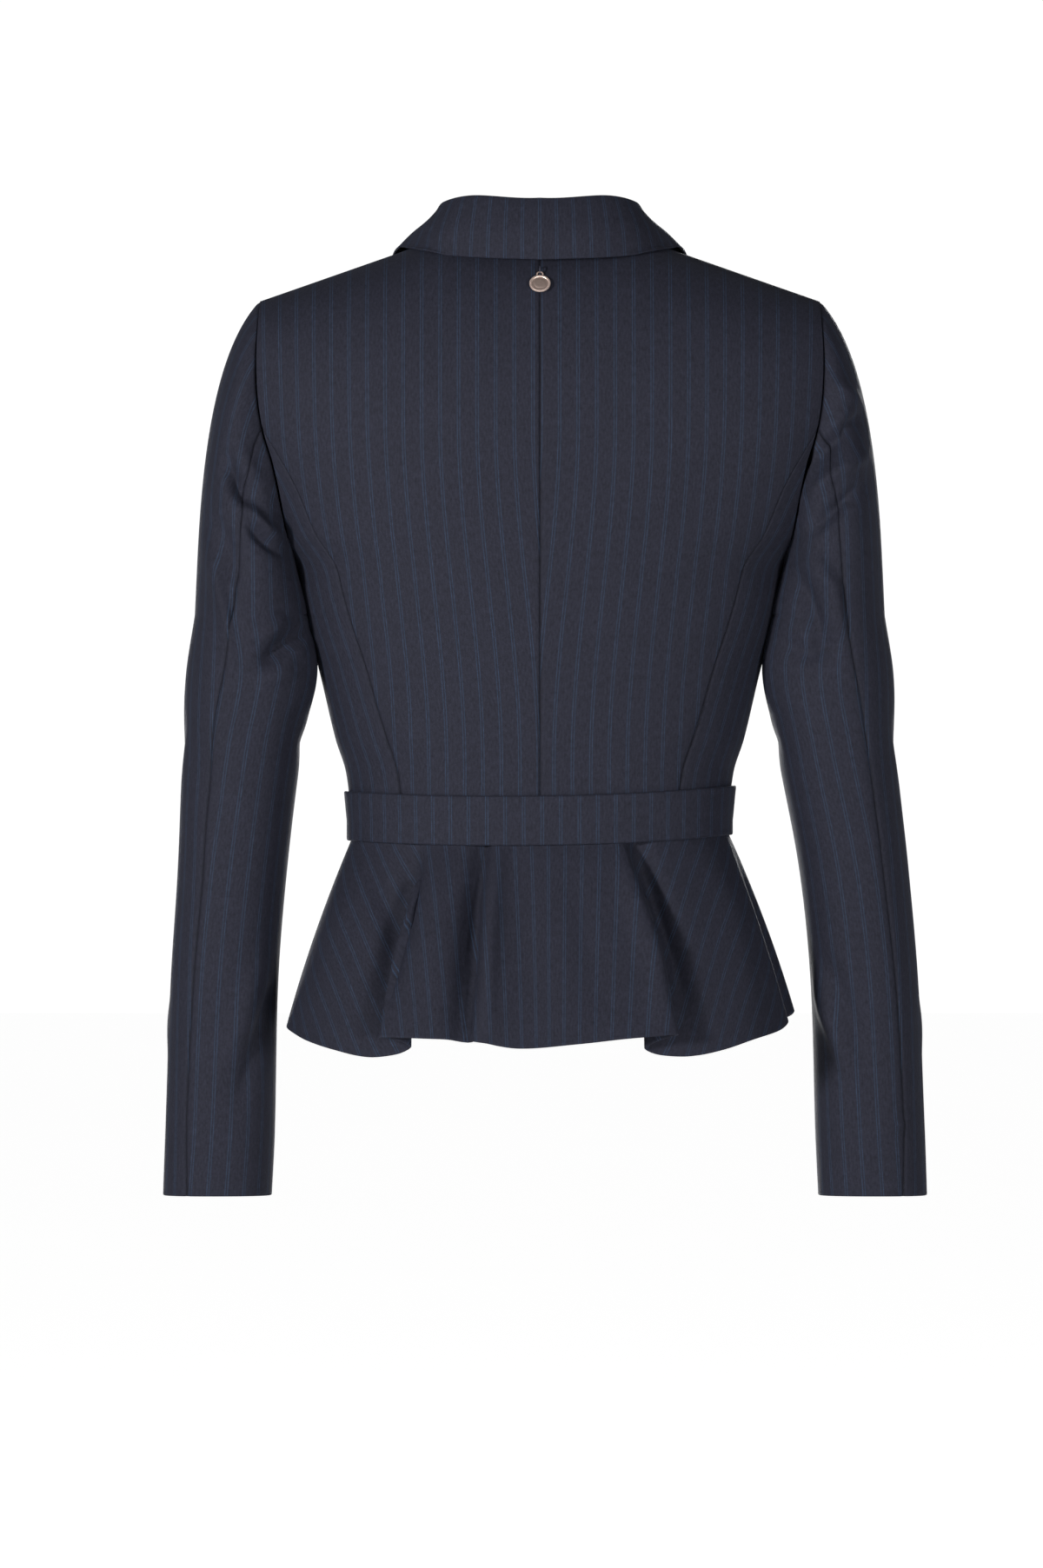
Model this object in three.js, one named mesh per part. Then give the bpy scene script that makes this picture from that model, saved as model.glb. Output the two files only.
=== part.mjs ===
// A fitted blazer with a belt and a flared peplum, standing in its worn form.
// Millimetres, +Z up, garment front towards -Y, the wearer's left towards +X.
// The origin is midway between the two points where the neck meets the shoulders.

import * as THREE from "three";

// Cloth
const WALL = 1.6;
const BELT_WALL = 2.4;
const SEAM_GAP = 0.3;

// Heights
const WAIST = -391;
const BUST = -235;
const BREAK = -335;
const CUFF = -650;
const BICEPS = -250;

// The waist seam dips at the centre back and a little to the left
const WAIST_RISE_AT_SIDE = 5;
const WAIST_TILT = 2;

// Half widths and depths of the bodice form, a row for each height.
// Above the armhole's bottom it is wider than the bodice, which the armhole cuts off.
const SQUARENESS = 2.2;
const TORSO = [
  { z: -391, backWidth: 130, frontWidth: 130, back: 82, front: 104 },
  { z: -357, backWidth: 134, frontWidth: 134, back: 84, front: 108 },
  { z: -335, backWidth: 141, frontWidth: 141, back: 88, front: 114 },
  { z: -287, backWidth: 152.5, frontWidth: 152.5, back: 95, front: 127 },
  { z: -256, backWidth: 161.5, frontWidth: 161.5, back: 99, front: 134 },
  { z: -235, backWidth: 166, frontWidth: 166, back: 101.5, front: 136 },
  { z: -215, backWidth: 169, frontWidth: 169, back: 103, front: 134.5 },
  { z: -195, backWidth: 182, frontWidth: 174, back: 104, front: 132 },
  { z: -170, backWidth: 195, frontWidth: 182, back: 104.5, front: 127 },
  { z: -145, backWidth: 207, frontWidth: 191, back: 104.5, front: 120 },
  { z: -125, backWidth: 216, frontWidth: 198.5, back: 104, front: 114 },
  { z: -100, backWidth: 224, frontWidth: 205, back: 103, front: 107 },
  { z: -70, backWidth: 231, frontWidth: 209, back: 101, front: 99 },
  { z: -33, backWidth: 236, frontWidth: 212, back: 98.5, front: 91 },
  { z: 14, backWidth: 240, frontWidth: 216, back: 96, front: 84 },
];

// The form closes towards the shoulder line, rounder behind than in front
const CLOSING = { from: -130, back: 2.6, front: 1.9 };
const SHOULDER_LINE = [
  { x: 0, z: 14 },
  { x: 40, z: 13 },
  { x: 68, z: 10.5 },
  { x: 100, z: -0.6 },
  { x: 193, z: -33 },
  { x: 240, z: -49 },
];

// Angle from the centre back of the curved side-back seam, a row for each height
const PRINCESS_SEAM = [
  { z: -391, angle: 44.5 },
  { z: -349, angle: 45.6 },
  { z: -298, angle: 49 },
  { z: -235, angle: 53 },
  { z: -200, angle: 56 },
  { z: -161, angle: 56 },
  { z: -121, angle: 60 },
];
const SIDE_SEAM = 90;
const FRONT_EDGE = 179.75;
const CENTRE_FRONT = 180;

// Armhole: an upright loop, its distance from the centre given for each height
const ARMHOLE = { centre: -124, rise: 91, depth: 56, frontCut: 8 };
const ARMHOLE_WIDTH = [
  { z: -215, x: 169 },
  { z: -195, x: 174 },
  { z: -170, x: 178.5 },
  { z: -145, x: 184 },
  { z: -125, x: 190 },
  { z: -100, x: 194 },
  { z: -70, x: 195 },
  { z: -33, x: 193 },
];
const ARMHOLE_GAP = { back: 0.8, front: 2.5 };
const BACK_NOTCH = 88;

// Neckline, and the line on which the lapel rolls, as seen from in front
const NECK = { width: 68, back: -2, side: 10.5 };
const ROLL_LINE = [
  { t: 0, x: 68, z: 10.5 },
  { t: 0.15, x: 67, z: -24 },
  { t: 0.32, x: 59, z: -80 },
  { t: 0.52, x: 44, z: -150 },
  { t: 0.76, x: 24, z: -235 },
  { t: 1, x: 1, z: BREAK },
];

// Shares of a panel's upper edge that its parts take
const BACK_CORNERS = { neck: 0.36, shoulder: 0.7 };
const FRONT_CORNERS = { shoulder: 0.38, neck: 0.56 };
const LOWER_SHARE = 0.4;
const DRIFT = 2.2;

// Sleeve rings below the cap: centre, width, depth front to back and how far forward they hang
const SLEEVE = [
  { z: CUFF, left: 223.4, right: 230.8, width: 75.5, depth: 84, forward: -40 },
  { z: -608, left: 221.5, right: 229, width: 76, depth: 88, forward: -35 },
  { z: -501, left: 218, right: 224.5, width: 74.5, depth: 98, forward: -20 },
  { z: -424, left: 212.3, right: 217, width: 75.7, depth: 104, forward: -11 },
  { z: -341, left: 205.5, right: 204.7, width: 82.5, depth: 112, forward: -4 },
  { z: -290, left: 200, right: 200, width: 88.5, depth: 116, forward: -2 },
  { z: BICEPS, left: 201.2, right: 201.2, width: 74, depth: 124, forward: -1 },
];
const CAP_SHARE = 0.42;
const CAP_PULL = 0.8;
const CAP_LEAVE = { inner: 0.12, outer: 0.68, back: 0.35, fall: 0.72, drop: 0.28 };
const SLEEVE_SQUARENESS = 2.3;

// Angles of the two sleeve seams round the sleeve, 0 outside and 90 behind
const SLEEVE_BACK_SEAM = [
  { z: CUFF, angle: 60 },
  { z: -595, angle: 56 },
  { z: -440, angle: 62 },
  { z: -330, angle: 64 },
  { z: -237, angle: 80 },
  { z: -120, angle: 90 },
];
const SLEEVE_FRONT_SEAM = -118;

// Collar, a row for each place round the neck: how far its roll lies out from the seam and above it,
// and where the edge of its fall is
const COLLAR = [
  { t: 0, rollOut: 4.5, rollRise: 38, x: 0, y: 76.5, z: -7 },
  { t: 0.25, rollOut: 4.5, rollRise: 35.5, x: 47, y: 68, z: -5 },
  { t: 0.45, rollOut: 3.5, rollRise: 26, x: 81, y: 42, z: -1 },
  { t: 0.6, rollOut: 1, rollRise: 18.5, x: 98, y: 4, z: 4.5 },
  { t: 0.8, rollOut: 2.5, rollRise: 14, x: 104, y: -38, z: -12 },
  { t: 1, rollOut: 3, rollRise: 5.5, x: 101, y: -84, z: -58 },
];
const COLLAR_SIDE_NECK = 0.6;
const COLLAR_END_ON_ROLL_LINE = 0.2;
const COLLAR_LIFT = { back: 0.8, front: 1.3 };
const ROLL_HALF_GAP = 3.2;
const ROLL_SHOULDER = 4;
const FALL_BULGE = 2.5;
const FALL_CLEARANCE = 2.4;

// Lapel: width and direction across, a row for each place up the roll line
const LAPEL = [
  { t: 0, width: 2.5, x: 0.98, z: -0.2 },
  { t: 0.25, width: 22, x: 0.98, z: -0.2 },
  { t: 0.55, width: 46, x: 0.96, z: -0.28 },
  { t: 0.85, width: 61, x: 0.87, z: -0.48 },
  { t: 1, width: 64, x: 0.8, z: -0.6 },
];
const LAPEL_FROM = 0.985;
const LAPEL_TO = 0.225;
const LAPEL_INSET = 1.5;
const LAPEL_LIFT = 3;
const LAPEL_ROLL = 3;

// Belt over the waist seam
const BELT = { rise: 17, drop: 17, gap: 0.9, lap: 15, underlap: 10, ramp: 14 };

// Hem of the peplum against the angle at the waist: the back, with two S-folds and a soft one
const PEPLUM_BACK = [
  { angle: -90, x: -176, y: 6, z: -522 },
  { angle: -84, x: -168.5, y: 26, z: -527 },
  { angle: -78, x: -171, y: 38, z: -529 },
  { angle: -70, x: -165, y: 54, z: -534 },
  { angle: -58, x: -146, y: 78, z: -540 },
  { angle: -46, x: -124, y: 92, z: -547 },
  { angle: -36, x: -101, y: 98.5, z: -551 },
  { angle: -32, x: -82, y: 100, z: -550 },
  { angle: -29.5, x: -73, y: 104, z: -546 },
  { angle: -27.3, x: -80, y: 108.5, z: -541 },
  { angle: -25, x: -90, y: 113, z: -537.5 },
  { angle: -22.8, x: -95, y: 118, z: -536 },
  { angle: -20, x: -84, y: 122.5, z: -536.5 },
  { angle: -14, x: -58, y: 126.5, z: -538.5 },
  { angle: -6, x: -26, y: 129, z: -542 },
  { angle: 4, x: 14, y: 129, z: -545 },
  { angle: 11, x: 41, y: 129, z: -541 },
  { angle: 15.5, x: 54, y: 121, z: -539.5 },
  { angle: 22, x: 76, y: 124, z: -538.5 },
  { angle: 30, x: 99, y: 122, z: -537.6 },
  { angle: 33, x: 110, y: 117.5, z: -537.6 },
  { angle: 35.3, x: 105, y: 112.5, z: -538.5 },
  { angle: 37.6, x: 95, y: 108, z: -541 },
  { angle: 39.8, x: 89.5, y: 103.5, z: -545 },
  { angle: 42.5, x: 98, y: 99.5, z: -549.5 },
  { angle: 48, x: 117, y: 97, z: -551.5 },
  { angle: 58, x: 140, y: 86, z: -547 },
  { angle: 70, x: 160, y: 62, z: -541 },
  { angle: 82, x: 172, y: 30, z: -535 },
  { angle: 90, x: 175, y: 6, z: -533 },
];

// Hem of a front of the peplum, on the left side
const PEPLUM_FRONT = [
  { angle: 90, x: 175, y: 6, z: -533 },
  { angle: 102, x: 173, y: -26, z: -534 },
  { angle: 113, x: 160, y: -60, z: -538 },
  { angle: 122, x: 145, y: -78, z: -541 },
  { angle: 130, x: 139, y: -101, z: -540 },
  { angle: 139, x: 114, y: -106, z: -541 },
  { angle: 148, x: 101, y: -129, z: -540 },
  { angle: 158, x: 72, y: -129, z: -541 },
  { angle: 168, x: 50, y: -142, z: -540 },
  { angle: 179.6, x: 8, y: -146, z: -541 },
];
const PEPLUM_RIGHT_HEM_RISE = 11;
const FLARE_EASE = 0.22;
const FLARE_FROM = 0.11;

// Button and charm
const BUTTON = { radius: 9, thickness: 3, sides: 24 };
const CHARM = { radius: 7.2, thickness: 1.4, eyeRadius: 2.5, eyeHole: 1.5, eyeRise: 8.4, sides: 14 };
const CHARM_LOOP = { radius: 3, wire: 0.5, clearance: 0.3, z: -15.5, sides: 8, bends: 10 };

// How far the sleeve stays off the bodice
const SLEEVE_CLEARANCE = { back: 1.2, front: 2 };

const vector = (x, y, z) => new THREE.Vector3(x, y, z);
const mix = THREE.MathUtils.lerp;
const radians = THREE.MathUtils.degToRad;
const clamp = THREE.MathUtils.clamp;
const steps = (count) => Array.from({ length: count + 1 }, (_, i) => i / count);

// Even steps between corners, each corner on a step
function columnsThrough(corners, counts) {
  const between = counts.flatMap((count, i) => steps(count).slice(1).map((t) => mix(corners[i], corners[i + 1], t)));
  return [corners[0], ...between];
}

const rounded = (value, squareness) => Math.sign(value) * Math.abs(value) ** (2 / squareness);

// Cubic through two values with their slopes
function hermite(a, slopeA, b, slopeB, t) {
  const [t2, t3] = [t * t, t * t * t];
  return (2 * t3 - 3 * t2 + 1) * a + (t3 - 2 * t2 + t) * slopeA + (3 * t2 - 2 * t3) * b + (t3 - t2) * slopeB;
}

// Every column of a table, smoothly between its rows
function sample(table, key, value) {
  const last = table.length - 1;
  let i = 0;
  while (i < last - 1 && value > table[i + 1][key]) i += 1;
  const [a, b] = [table[i], table[i + 1]];
  const [before, after] = [table[Math.max(i - 1, 0)], table[Math.min(i + 2, last)]];
  const span = b[key] - a[key];
  const t = clamp((value - a[key]) / span, 0, 1);
  const row = {};
  for (const column of Object.keys(a)) {
    const slopeA = (b[column] - before[column]) / (b[key] - before[key]);
    const slopeB = (after[column] - a[column]) / (after[key] - a[key]);
    row[column] = hermite(a[column], slopeA * span, b[column], slopeB * span, t);
  }
  return row;
}

const place = (row) => vector(row.x, row.y, row.z);

// Bodice

// Angles run from the centre back, positive towards the wearer's left
function waistHeight(angle) {
  const side = Math.sin(radians(angle));
  return WAIST + WAIST_RISE_AT_SIDE * side * side - WAIST_TILT * side;
}

const shoulderHeight = (x) => sample(SHOULDER_LINE, "x", Math.abs(x)).z;
const inner = (value, from, to) => clamp((value - from) / (to - from), 0, 1);

// A point of the bodice form: angle 0 is the centre back, 90 the left side, 180 the centre front
function form(angle, z) {
  const row = sample(TORSO, "z", z);
  const [turn, behind] = [radians(angle), Math.abs(angle) <= 90];
  const x = (behind ? row.backWidth : row.frontWidth) * rounded(Math.sin(turn), SQUARENESS);
  const closing = behind ? CLOSING.back : CLOSING.front;
  const closed = inner(z, CLOSING.from, shoulderHeight(x));
  const depth = (behind ? row.back : row.front) * (1 - closed ** closing) ** (1 / closing);
  return vector(x, depth * rounded(Math.cos(turn), SQUARENESS), z);
}

// The form's angle where it is seen from behind or in front at x and z
function formAngle(x, z, behind) {
  const row = sample(TORSO, "z", z);
  const share = Math.min(1, Math.abs(x) / (behind ? row.backWidth : row.frontWidth));
  const turn = THREE.MathUtils.radToDeg(Math.asin(share ** (SQUARENESS / 2)));
  return behind ? turn : 180 - turn;
}

// The edge curves give x and z, and the form the rest.
// Angle 0 is the top of the armhole, 90 its back, 180 its bottom and 270 its front.
function armholeEdge(angle) {
  const turn = radians(angle);
  const z = ARMHOLE.centre + ARMHOLE.rise * Math.cos(turn);
  const cutIn = ARMHOLE.frontCut * Math.min(0, Math.sin(turn));
  return { x: sample(ARMHOLE_WIDTH, "z", z).x + cutIn, z, behind: angle <= 180 };
}

function onForm({ x, z, behind }) {
  return form(formAngle(x, z, behind), z);
}

const armhole = (angle) => onForm(armholeEdge(angle));

// From an armhole point to the middle of the armhole
function intoArmhole(point) {
  return vector(0, -point.y, ARMHOLE.centre - point.z).normalize();
}

function necklineEdge(share) {
  const turn = radians(90 * share);
  return { x: NECK.width * Math.sin(turn), z: mix(NECK.back, NECK.side, Math.sin(turn) ** 2), behind: true };
}

function shoulderEdge(share, behind) {
  const x = mix(NECK.width, armholeEdge(0).x, share);
  return { x, z: shoulderHeight(x), behind };
}

function rollEdge(t) {
  return { ...sample(ROLL_LINE, "t", t), behind: false };
}

function backTop(s) {
  const { neck, shoulder: tip } = BACK_CORNERS;
  if (s <= neck) return necklineEdge(s / neck);
  return s <= tip ? shoulderEdge(inner(s, neck, tip), true) : armholeEdge(BACK_NOTCH * inner(s, tip, 1));
}

function frontTop(s) {
  const { neck, shoulder: tip } = FRONT_CORNERS;
  if (s <= tip) return { ...armholeEdge(mix(180, 360, s / tip)), behind: false };
  return s <= neck ? shoulderEdge(1 - inner(s, tip, neck), false) : rollEdge(inner(s, neck, 1));
}

const princess = (z) => sample(PRINCESS_SEAM, "z", z).angle;

const PANELS = {
  back: { from: () => 0, to: princess, top: backTop },
  sideBack: {
    from: princess,
    to: () => SIDE_SEAM,
    top: (s) => ({ ...armholeEdge(mix(BACK_NOTCH, 180, s)), behind: true }),
  },
  front: { from: () => SIDE_SEAM, to: () => FRONT_EDGE, top: frontTop },
};

// A point of a bodice panel: s runs from seam to seam, v from the waist to the panel's upper edge.
// The right side is made as a left one and mirrored, so only the waist's tilt knows the hand.
function bodicePoint(panel, s, v, hand = 1) {
  const angle = (z) => mix(panel.from(z), panel.to(z), s);
  const top = panel.top(s);
  const low = waistHeight(hand * angle(WAIST)) + SEAM_GAP / 2;
  const joint = Math.min(BUST, mix(low, top.z, 0.5));
  if (v <= LOWER_SHARE) {
    const z = mix(low, joint, v / LOWER_SHARE);
    return form(drifting(z), z);
  }
  const z = mix(joint, top.z, Math.sin((Math.PI / 2) * inner(v, LOWER_SHARE, 1)));
  return form(drifting(z), z);

  function drifting(height) {
    const drift = formAngle(top.x, top.z, top.behind) - angle(top.z);
    return angle(height) + drift * inner(height, low, top.z) ** DRIFT;
  }
}

// Walls

const grid = (rows, columns, point) => rows.map((v) => columns.map((s) => point(s, v)));

// Moves each edge of a grid inwards by half a seam's gap
function parted(points, edges, gap = SEAM_GAP / 2) {
  const [lastRow, lastColumn] = [points.length - 1, points[0].length - 1];
  const towards = (p, q) => p.add(q.clone().sub(p).setLength(gap));
  if (edges.includes("start")) points.forEach((row) => towards(row[0], row[1]));
  if (edges.includes("end")) points.forEach((row) => towards(row[lastColumn], row[lastColumn - 1]));
  if (edges.includes("bottom")) points[0].forEach((p, j) => towards(p, points[1][j]));
  if (edges.includes("top")) points[lastRow].forEach((p, j) => towards(p, points[lastRow - 1][j]));
  return points;
}

function inwards(points, i, j, turned) {
  const row = points[i];
  const along = row[Math.min(j + 1, row.length - 1)].clone().sub(row[Math.max(j - 1, 0)]);
  const up = points[Math.min(i + 1, points.length - 1)][j].clone().sub(points[Math.max(i - 1, 0)][j]);
  const normal = up.cross(along).normalize();
  return turned ? normal : normal.negate();
}

// A closed wall: the given points outside, and the same moved in by the thickness
function wall(points, { thickness = WALL, turned = false, direction = () => null } = {}) {
  const [rows, columns] = [points.length, points[0].length];
  const positions = [];
  points.forEach((row) => row.forEach((p) => positions.push(...p.toArray())));
  points.forEach((row, i) =>
    row.forEach((p, j) => {
      const into = direction(p, i, j) ?? inwards(points, i, j, turned);
      positions.push(...into.clone().multiplyScalar(thickness).add(p).toArray());
    }),
  );
  const outer = (i, j) => i * columns + j;
  const hidden = (i, j) => rows * columns + i * columns + j;
  const index = [];
  const quad = (a, b, c, d) => index.push(a, b, c, a, c, d);
  for (let i = 0; i < rows - 1; i += 1) {
    for (let j = 0; j < columns - 1; j += 1) {
      quad(outer(i, j), outer(i, j + 1), outer(i + 1, j + 1), outer(i + 1, j));
      quad(hidden(i, j), hidden(i + 1, j), hidden(i + 1, j + 1), hidden(i, j + 1));
    }
    quad(outer(i, 0), outer(i + 1, 0), hidden(i + 1, 0), hidden(i, 0));
    quad(outer(i, columns - 1), hidden(i, columns - 1), hidden(i + 1, columns - 1), outer(i + 1, columns - 1));
  }
  for (let j = 0; j < columns - 1; j += 1) {
    quad(outer(0, j), hidden(0, j), hidden(0, j + 1), outer(0, j + 1));
    quad(outer(rows - 1, j), outer(rows - 1, j + 1), hidden(rows - 1, j + 1), hidden(rows - 1, j));
  }
  return facingOut(positions, index);
}

function facingOut(positions, index) {
  const geometry = new THREE.BufferGeometry();
  geometry.setAttribute("position", new THREE.Float32BufferAttribute(positions, 3));
  const corner = (k) => vector(...positions.slice(3 * k, 3 * k + 3));
  let volume = 0;
  for (let k = 0; k < index.length; k += 3) {
    volume += corner(index[k]).dot(corner(index[k + 1]).cross(corner(index[k + 2])));
  }
  geometry.setIndex(volume < 0 ? index.toReversed() : index);
  geometry.computeVertexNormals();
  return geometry;
}

function mirrored(geometry) {
  const copy = geometry.clone().scale(-1, 1, 1);
  copy.setIndex([...copy.index.array].toReversed());
  return copy;
}

// Bodice pieces

const PANEL_ROWS = { lower: 5, upper: 9 };
const PANEL_COLUMNS = {
  back: columnsThrough([0, BACK_CORNERS.neck, BACK_CORNERS.shoulder, 1], [4, 4, 5]),
  sideBack: steps(6),
  front: columnsThrough([0, FRONT_CORNERS.shoulder, FRONT_CORNERS.neck, 1], [10, 4, 8]),
};
const NEXT_PANEL = { back: "sideBack", sideBack: "front" };
const SEAM_PROBE = 0.02;
const SLEEVE_PROBE = 4;
const DOWN = vector(0, 0, -1);

function panelRows() {
  const below = steps(PANEL_ROWS.lower).map((v) => v * LOWER_SHARE);
  const above = steps(PANEL_ROWS.upper).slice(1).map((v) => LOWER_SHARE + v * (1 - LOWER_SHARE));
  return [...below, ...above];
}

function panelTopDirection(name, s) {
  const top = onForm(PANELS[name].top(s));
  const corners = name === "back" ? BACK_CORNERS : FRONT_CORNERS;
  if (name === "sideBack") return intoArmhole(top);
  const onArmhole = name === "back" ? s > corners.shoulder : s < corners.shoulder;
  const onNeck = name === "back" ? s < corners.neck : s > corners.neck;
  if (onArmhole) return intoArmhole(top);
  return onNeck ? null : DOWN;
}

// Two panels share this direction through the cloth along their common seam
function seamDirection(name, next, v, hand) {
  const low = Math.max(v - SEAM_PROBE, 0);
  const high = Math.min(v + SEAM_PROBE, 1);
  const before = bodicePoint(PANELS[name], 1 - SEAM_PROBE, v, hand);
  const along = bodicePoint(PANELS[next], SEAM_PROBE, v, hand).sub(before);
  const up = bodicePoint(PANELS[name], 1, high, hand).sub(bodicePoint(PANELS[name], 1, low, hand));
  return along.cross(up).normalize();
}

function centreBackDirection(v, hand) {
  const up = bodicePoint(PANELS.back, 0, Math.min(v + SEAM_PROBE, 1), hand);
  up.sub(bodicePoint(PANELS.back, 0, Math.max(v - SEAM_PROBE, 0), hand));
  return vector(1, 0, 0).cross(up).normalize();
}

function panelDirection(name, s, v, hand) {
  const top = v === 1 ? panelTopDirection(name, s) : null;
  if (top) return top;
  const before = Object.keys(NEXT_PANEL).find((key) => NEXT_PANEL[key] === name);
  if (s === 1 && NEXT_PANEL[name]) return seamDirection(name, NEXT_PANEL[name], v, hand);
  if (s === 0) return before ? seamDirection(before, name, v, hand) : centreBackDirection(v, hand);
  return null;
}

function bodicePanel(name, hand) {
  const [rows, columns] = [panelRows(), PANEL_COLUMNS[name]];
  const points = grid(rows, columns, (s, v) => bodicePoint(PANELS[name], s, v, hand));
  parted(points, ["start", "end", "top"]);
  return wall(points, { direction: (p, i, j) => panelDirection(name, columns[j], rows[i], hand) });
}

// Sleeves

function sleeveRing(side, turn, z) {
  const row = sample(SLEEVE, "z", z);
  const around = radians(turn);
  const x = row[side] + (row.width / 2) * rounded(Math.cos(around), SLEEVE_SQUARENESS);
  return vector(x, row.forward + (row.depth / 2) * rounded(Math.sin(around), SLEEVE_SQUARENESS), z);
}

// The cap runs from the armhole down to the first ring
function sleeveCap(side, turn, t) {
  const from = armhole((turn + 360) % 360);
  from.x += from.y > 0 ? ARMHOLE_GAP.back : ARMHOLE_GAP.front;
  const to = sleeveRing(side, turn, BICEPS);
  const span = from.distanceTo(to);
  const around = radians(turn);
  const outside = (1 + Math.cos(around)) / 2;
  const leave = vector(
    mix(CAP_LEAVE.inner, CAP_LEAVE.outer, outside),
    CAP_LEAVE.back * Math.sin(around),
    -CAP_LEAVE.fall - CAP_LEAVE.drop * (1 - outside),
  ).setLength(span * CAP_PULL);
  const arrive = vector(0.05 * outside, 0, -1).setLength(span * CAP_PULL);
  const axis = (name) => hermite(from[name], leave[name], to[name], arrive[name], t);
  return vector(axis("x"), axis("y"), axis("z"));
}

// Distance of the bodice from the centre plane under the armhole, at a depth y and a height z
function bodiceReach(y, z) {
  const row = sample(TORSO, "z", z);
  const [width, depth] = y > 0 ? [row.backWidth, row.back] : [row.frontWidth, row.front];
  const across = Math.abs(y) / ARMHOLE.depth;
  const edge = ARMHOLE.centre - ARMHOLE.rise * Math.sqrt(Math.max(0, 1 - across ** 2));
  if (z > (across < 1 ? edge : BUST)) return 0;
  return width * Math.max(0, 1 - (Math.abs(y) / depth) ** SQUARENESS) ** (1 / SQUARENESS);
}

function clearOfBodice(point) {
  const reach = bodiceReach(point.y, point.z);
  const clearance = point.y > 0 ? SLEEVE_CLEARANCE.back : SLEEVE_CLEARANCE.front;
  return reach ? point.setX(Math.max(point.x, reach + clearance)) : point;
}

function sleevePoint(side, turnAt, v) {
  if (v === 0) return sleeveCap(side, turnAt(ARMHOLE.centre), 0);
  if (v < CAP_SHARE) {
    const t = v / CAP_SHARE;
    return clearOfBodice(sleeveCap(side, turnAt(mix(ARMHOLE.centre, BICEPS, t)), t));
  }
  const z = mix(BICEPS, CUFF, (v - CAP_SHARE) / (1 - CAP_SHARE));
  return clearOfBodice(sleeveRing(side, turnAt(z), z));
}

// Direction into the sleeve, which its two pieces share along their seams
function sleeveDirection(side, turnAt, v) {
  const around = (offset) => sleevePoint(side, (z) => turnAt(z) + offset, v);
  const along = around(SLEEVE_PROBE).sub(around(-SLEEVE_PROBE));
  const low = sleevePoint(side, turnAt, Math.max(v - SEAM_PROBE, 0));
  const down = sleevePoint(side, turnAt, Math.min(v + SEAM_PROBE, 1)).sub(low);
  return along.cross(down).normalize();
}

const SHOULDER_TIP = SLEEVE_FRONT_SEAM / (SLEEVE_FRONT_SEAM - 90);
const SLEEVE_GRID = {
  cap: 9,
  tube: 9,
  upper: columnsThrough([0, SHOULDER_TIP, 1], [7, 5]),
  under: steps(9),
};

function sleevePiece(side, name) {
  const backSeam = (z) => sample(SLEEVE_BACK_SEAM, "z", z).angle;
  const under = name === "under";
  const turn = (s) => (z) =>
    under ? mix(backSeam(z), SLEEVE_FRONT_SEAM + 360, s) : mix(SLEEVE_FRONT_SEAM, backSeam(z), s);
  const cap = steps(SLEEVE_GRID.cap).map((v) => v * CAP_SHARE);
  const tube = steps(SLEEVE_GRID.tube).slice(1).map((v) => CAP_SHARE + v * (1 - CAP_SHARE));
  const [rows, columns] = [[...cap, ...tube], SLEEVE_GRID[name]];
  const points = grid(rows, columns, (s, v) => sleevePoint(side, turn(s), v));
  parted(points, ["start", "end"]);
  const seams = [0, columns.length - 1];
  return wall(points, {
    direction(p, i, j) {
      if (i === 0) return intoArmhole(p);
      return seams.includes(j) ? sleeveDirection(side, turn(columns[j]), rows[i]) : null;
    },
  });
}

// Collar

function collarSeam(t) {
  if (t <= COLLAR_SIDE_NECK) return onForm(necklineEdge(t / COLLAR_SIDE_NECK));
  return onForm(rollEdge(COLLAR_END_ON_ROLL_LINE * inner(t, COLLAR_SIDE_NECK, 1)));
}

// Below zero inside the bodice form and above zero outside
function formLevel({ x, y, z }) {
  const row = sample(TORSO, "z", z);
  const [width, depth] = y > 0 ? [row.backWidth, row.back] : [row.frontWidth, row.front];
  const power = y > 0 ? CLOSING.back : CLOSING.front;
  const across = depth * Math.max(0, 1 - (Math.abs(x) / width) ** SQUARENESS) ** (1 / SQUARENESS);
  const closed = Math.max(0, (z - CLOSING.from) / (shoulderHeight(x) - CLOSING.from));
  return (Math.abs(y) / across) ** power + closed ** power - 1;
}

// Lifts a point of the fall off the cloth below it
function clearOfForm(point) {
  const step = 0.5;
  const slope = (axis) => {
    const [more, less] = [point.clone(), point.clone()];
    more[axis] += step;
    less[axis] -= step;
    return (formLevel(more) - formLevel(less)) / (2 * step);
  };
  for (let round = 0; round < 3; round += 1) {
    const gradient = vector(slope("x"), slope("y"), slope("z"));
    const distance = formLevel(point) / gradient.length();
    if (distance >= FALL_CLEARANCE) return;
    point.addScaledVector(gradient.normalize(), FALL_CLEARANCE - distance);
  }
}

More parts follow.
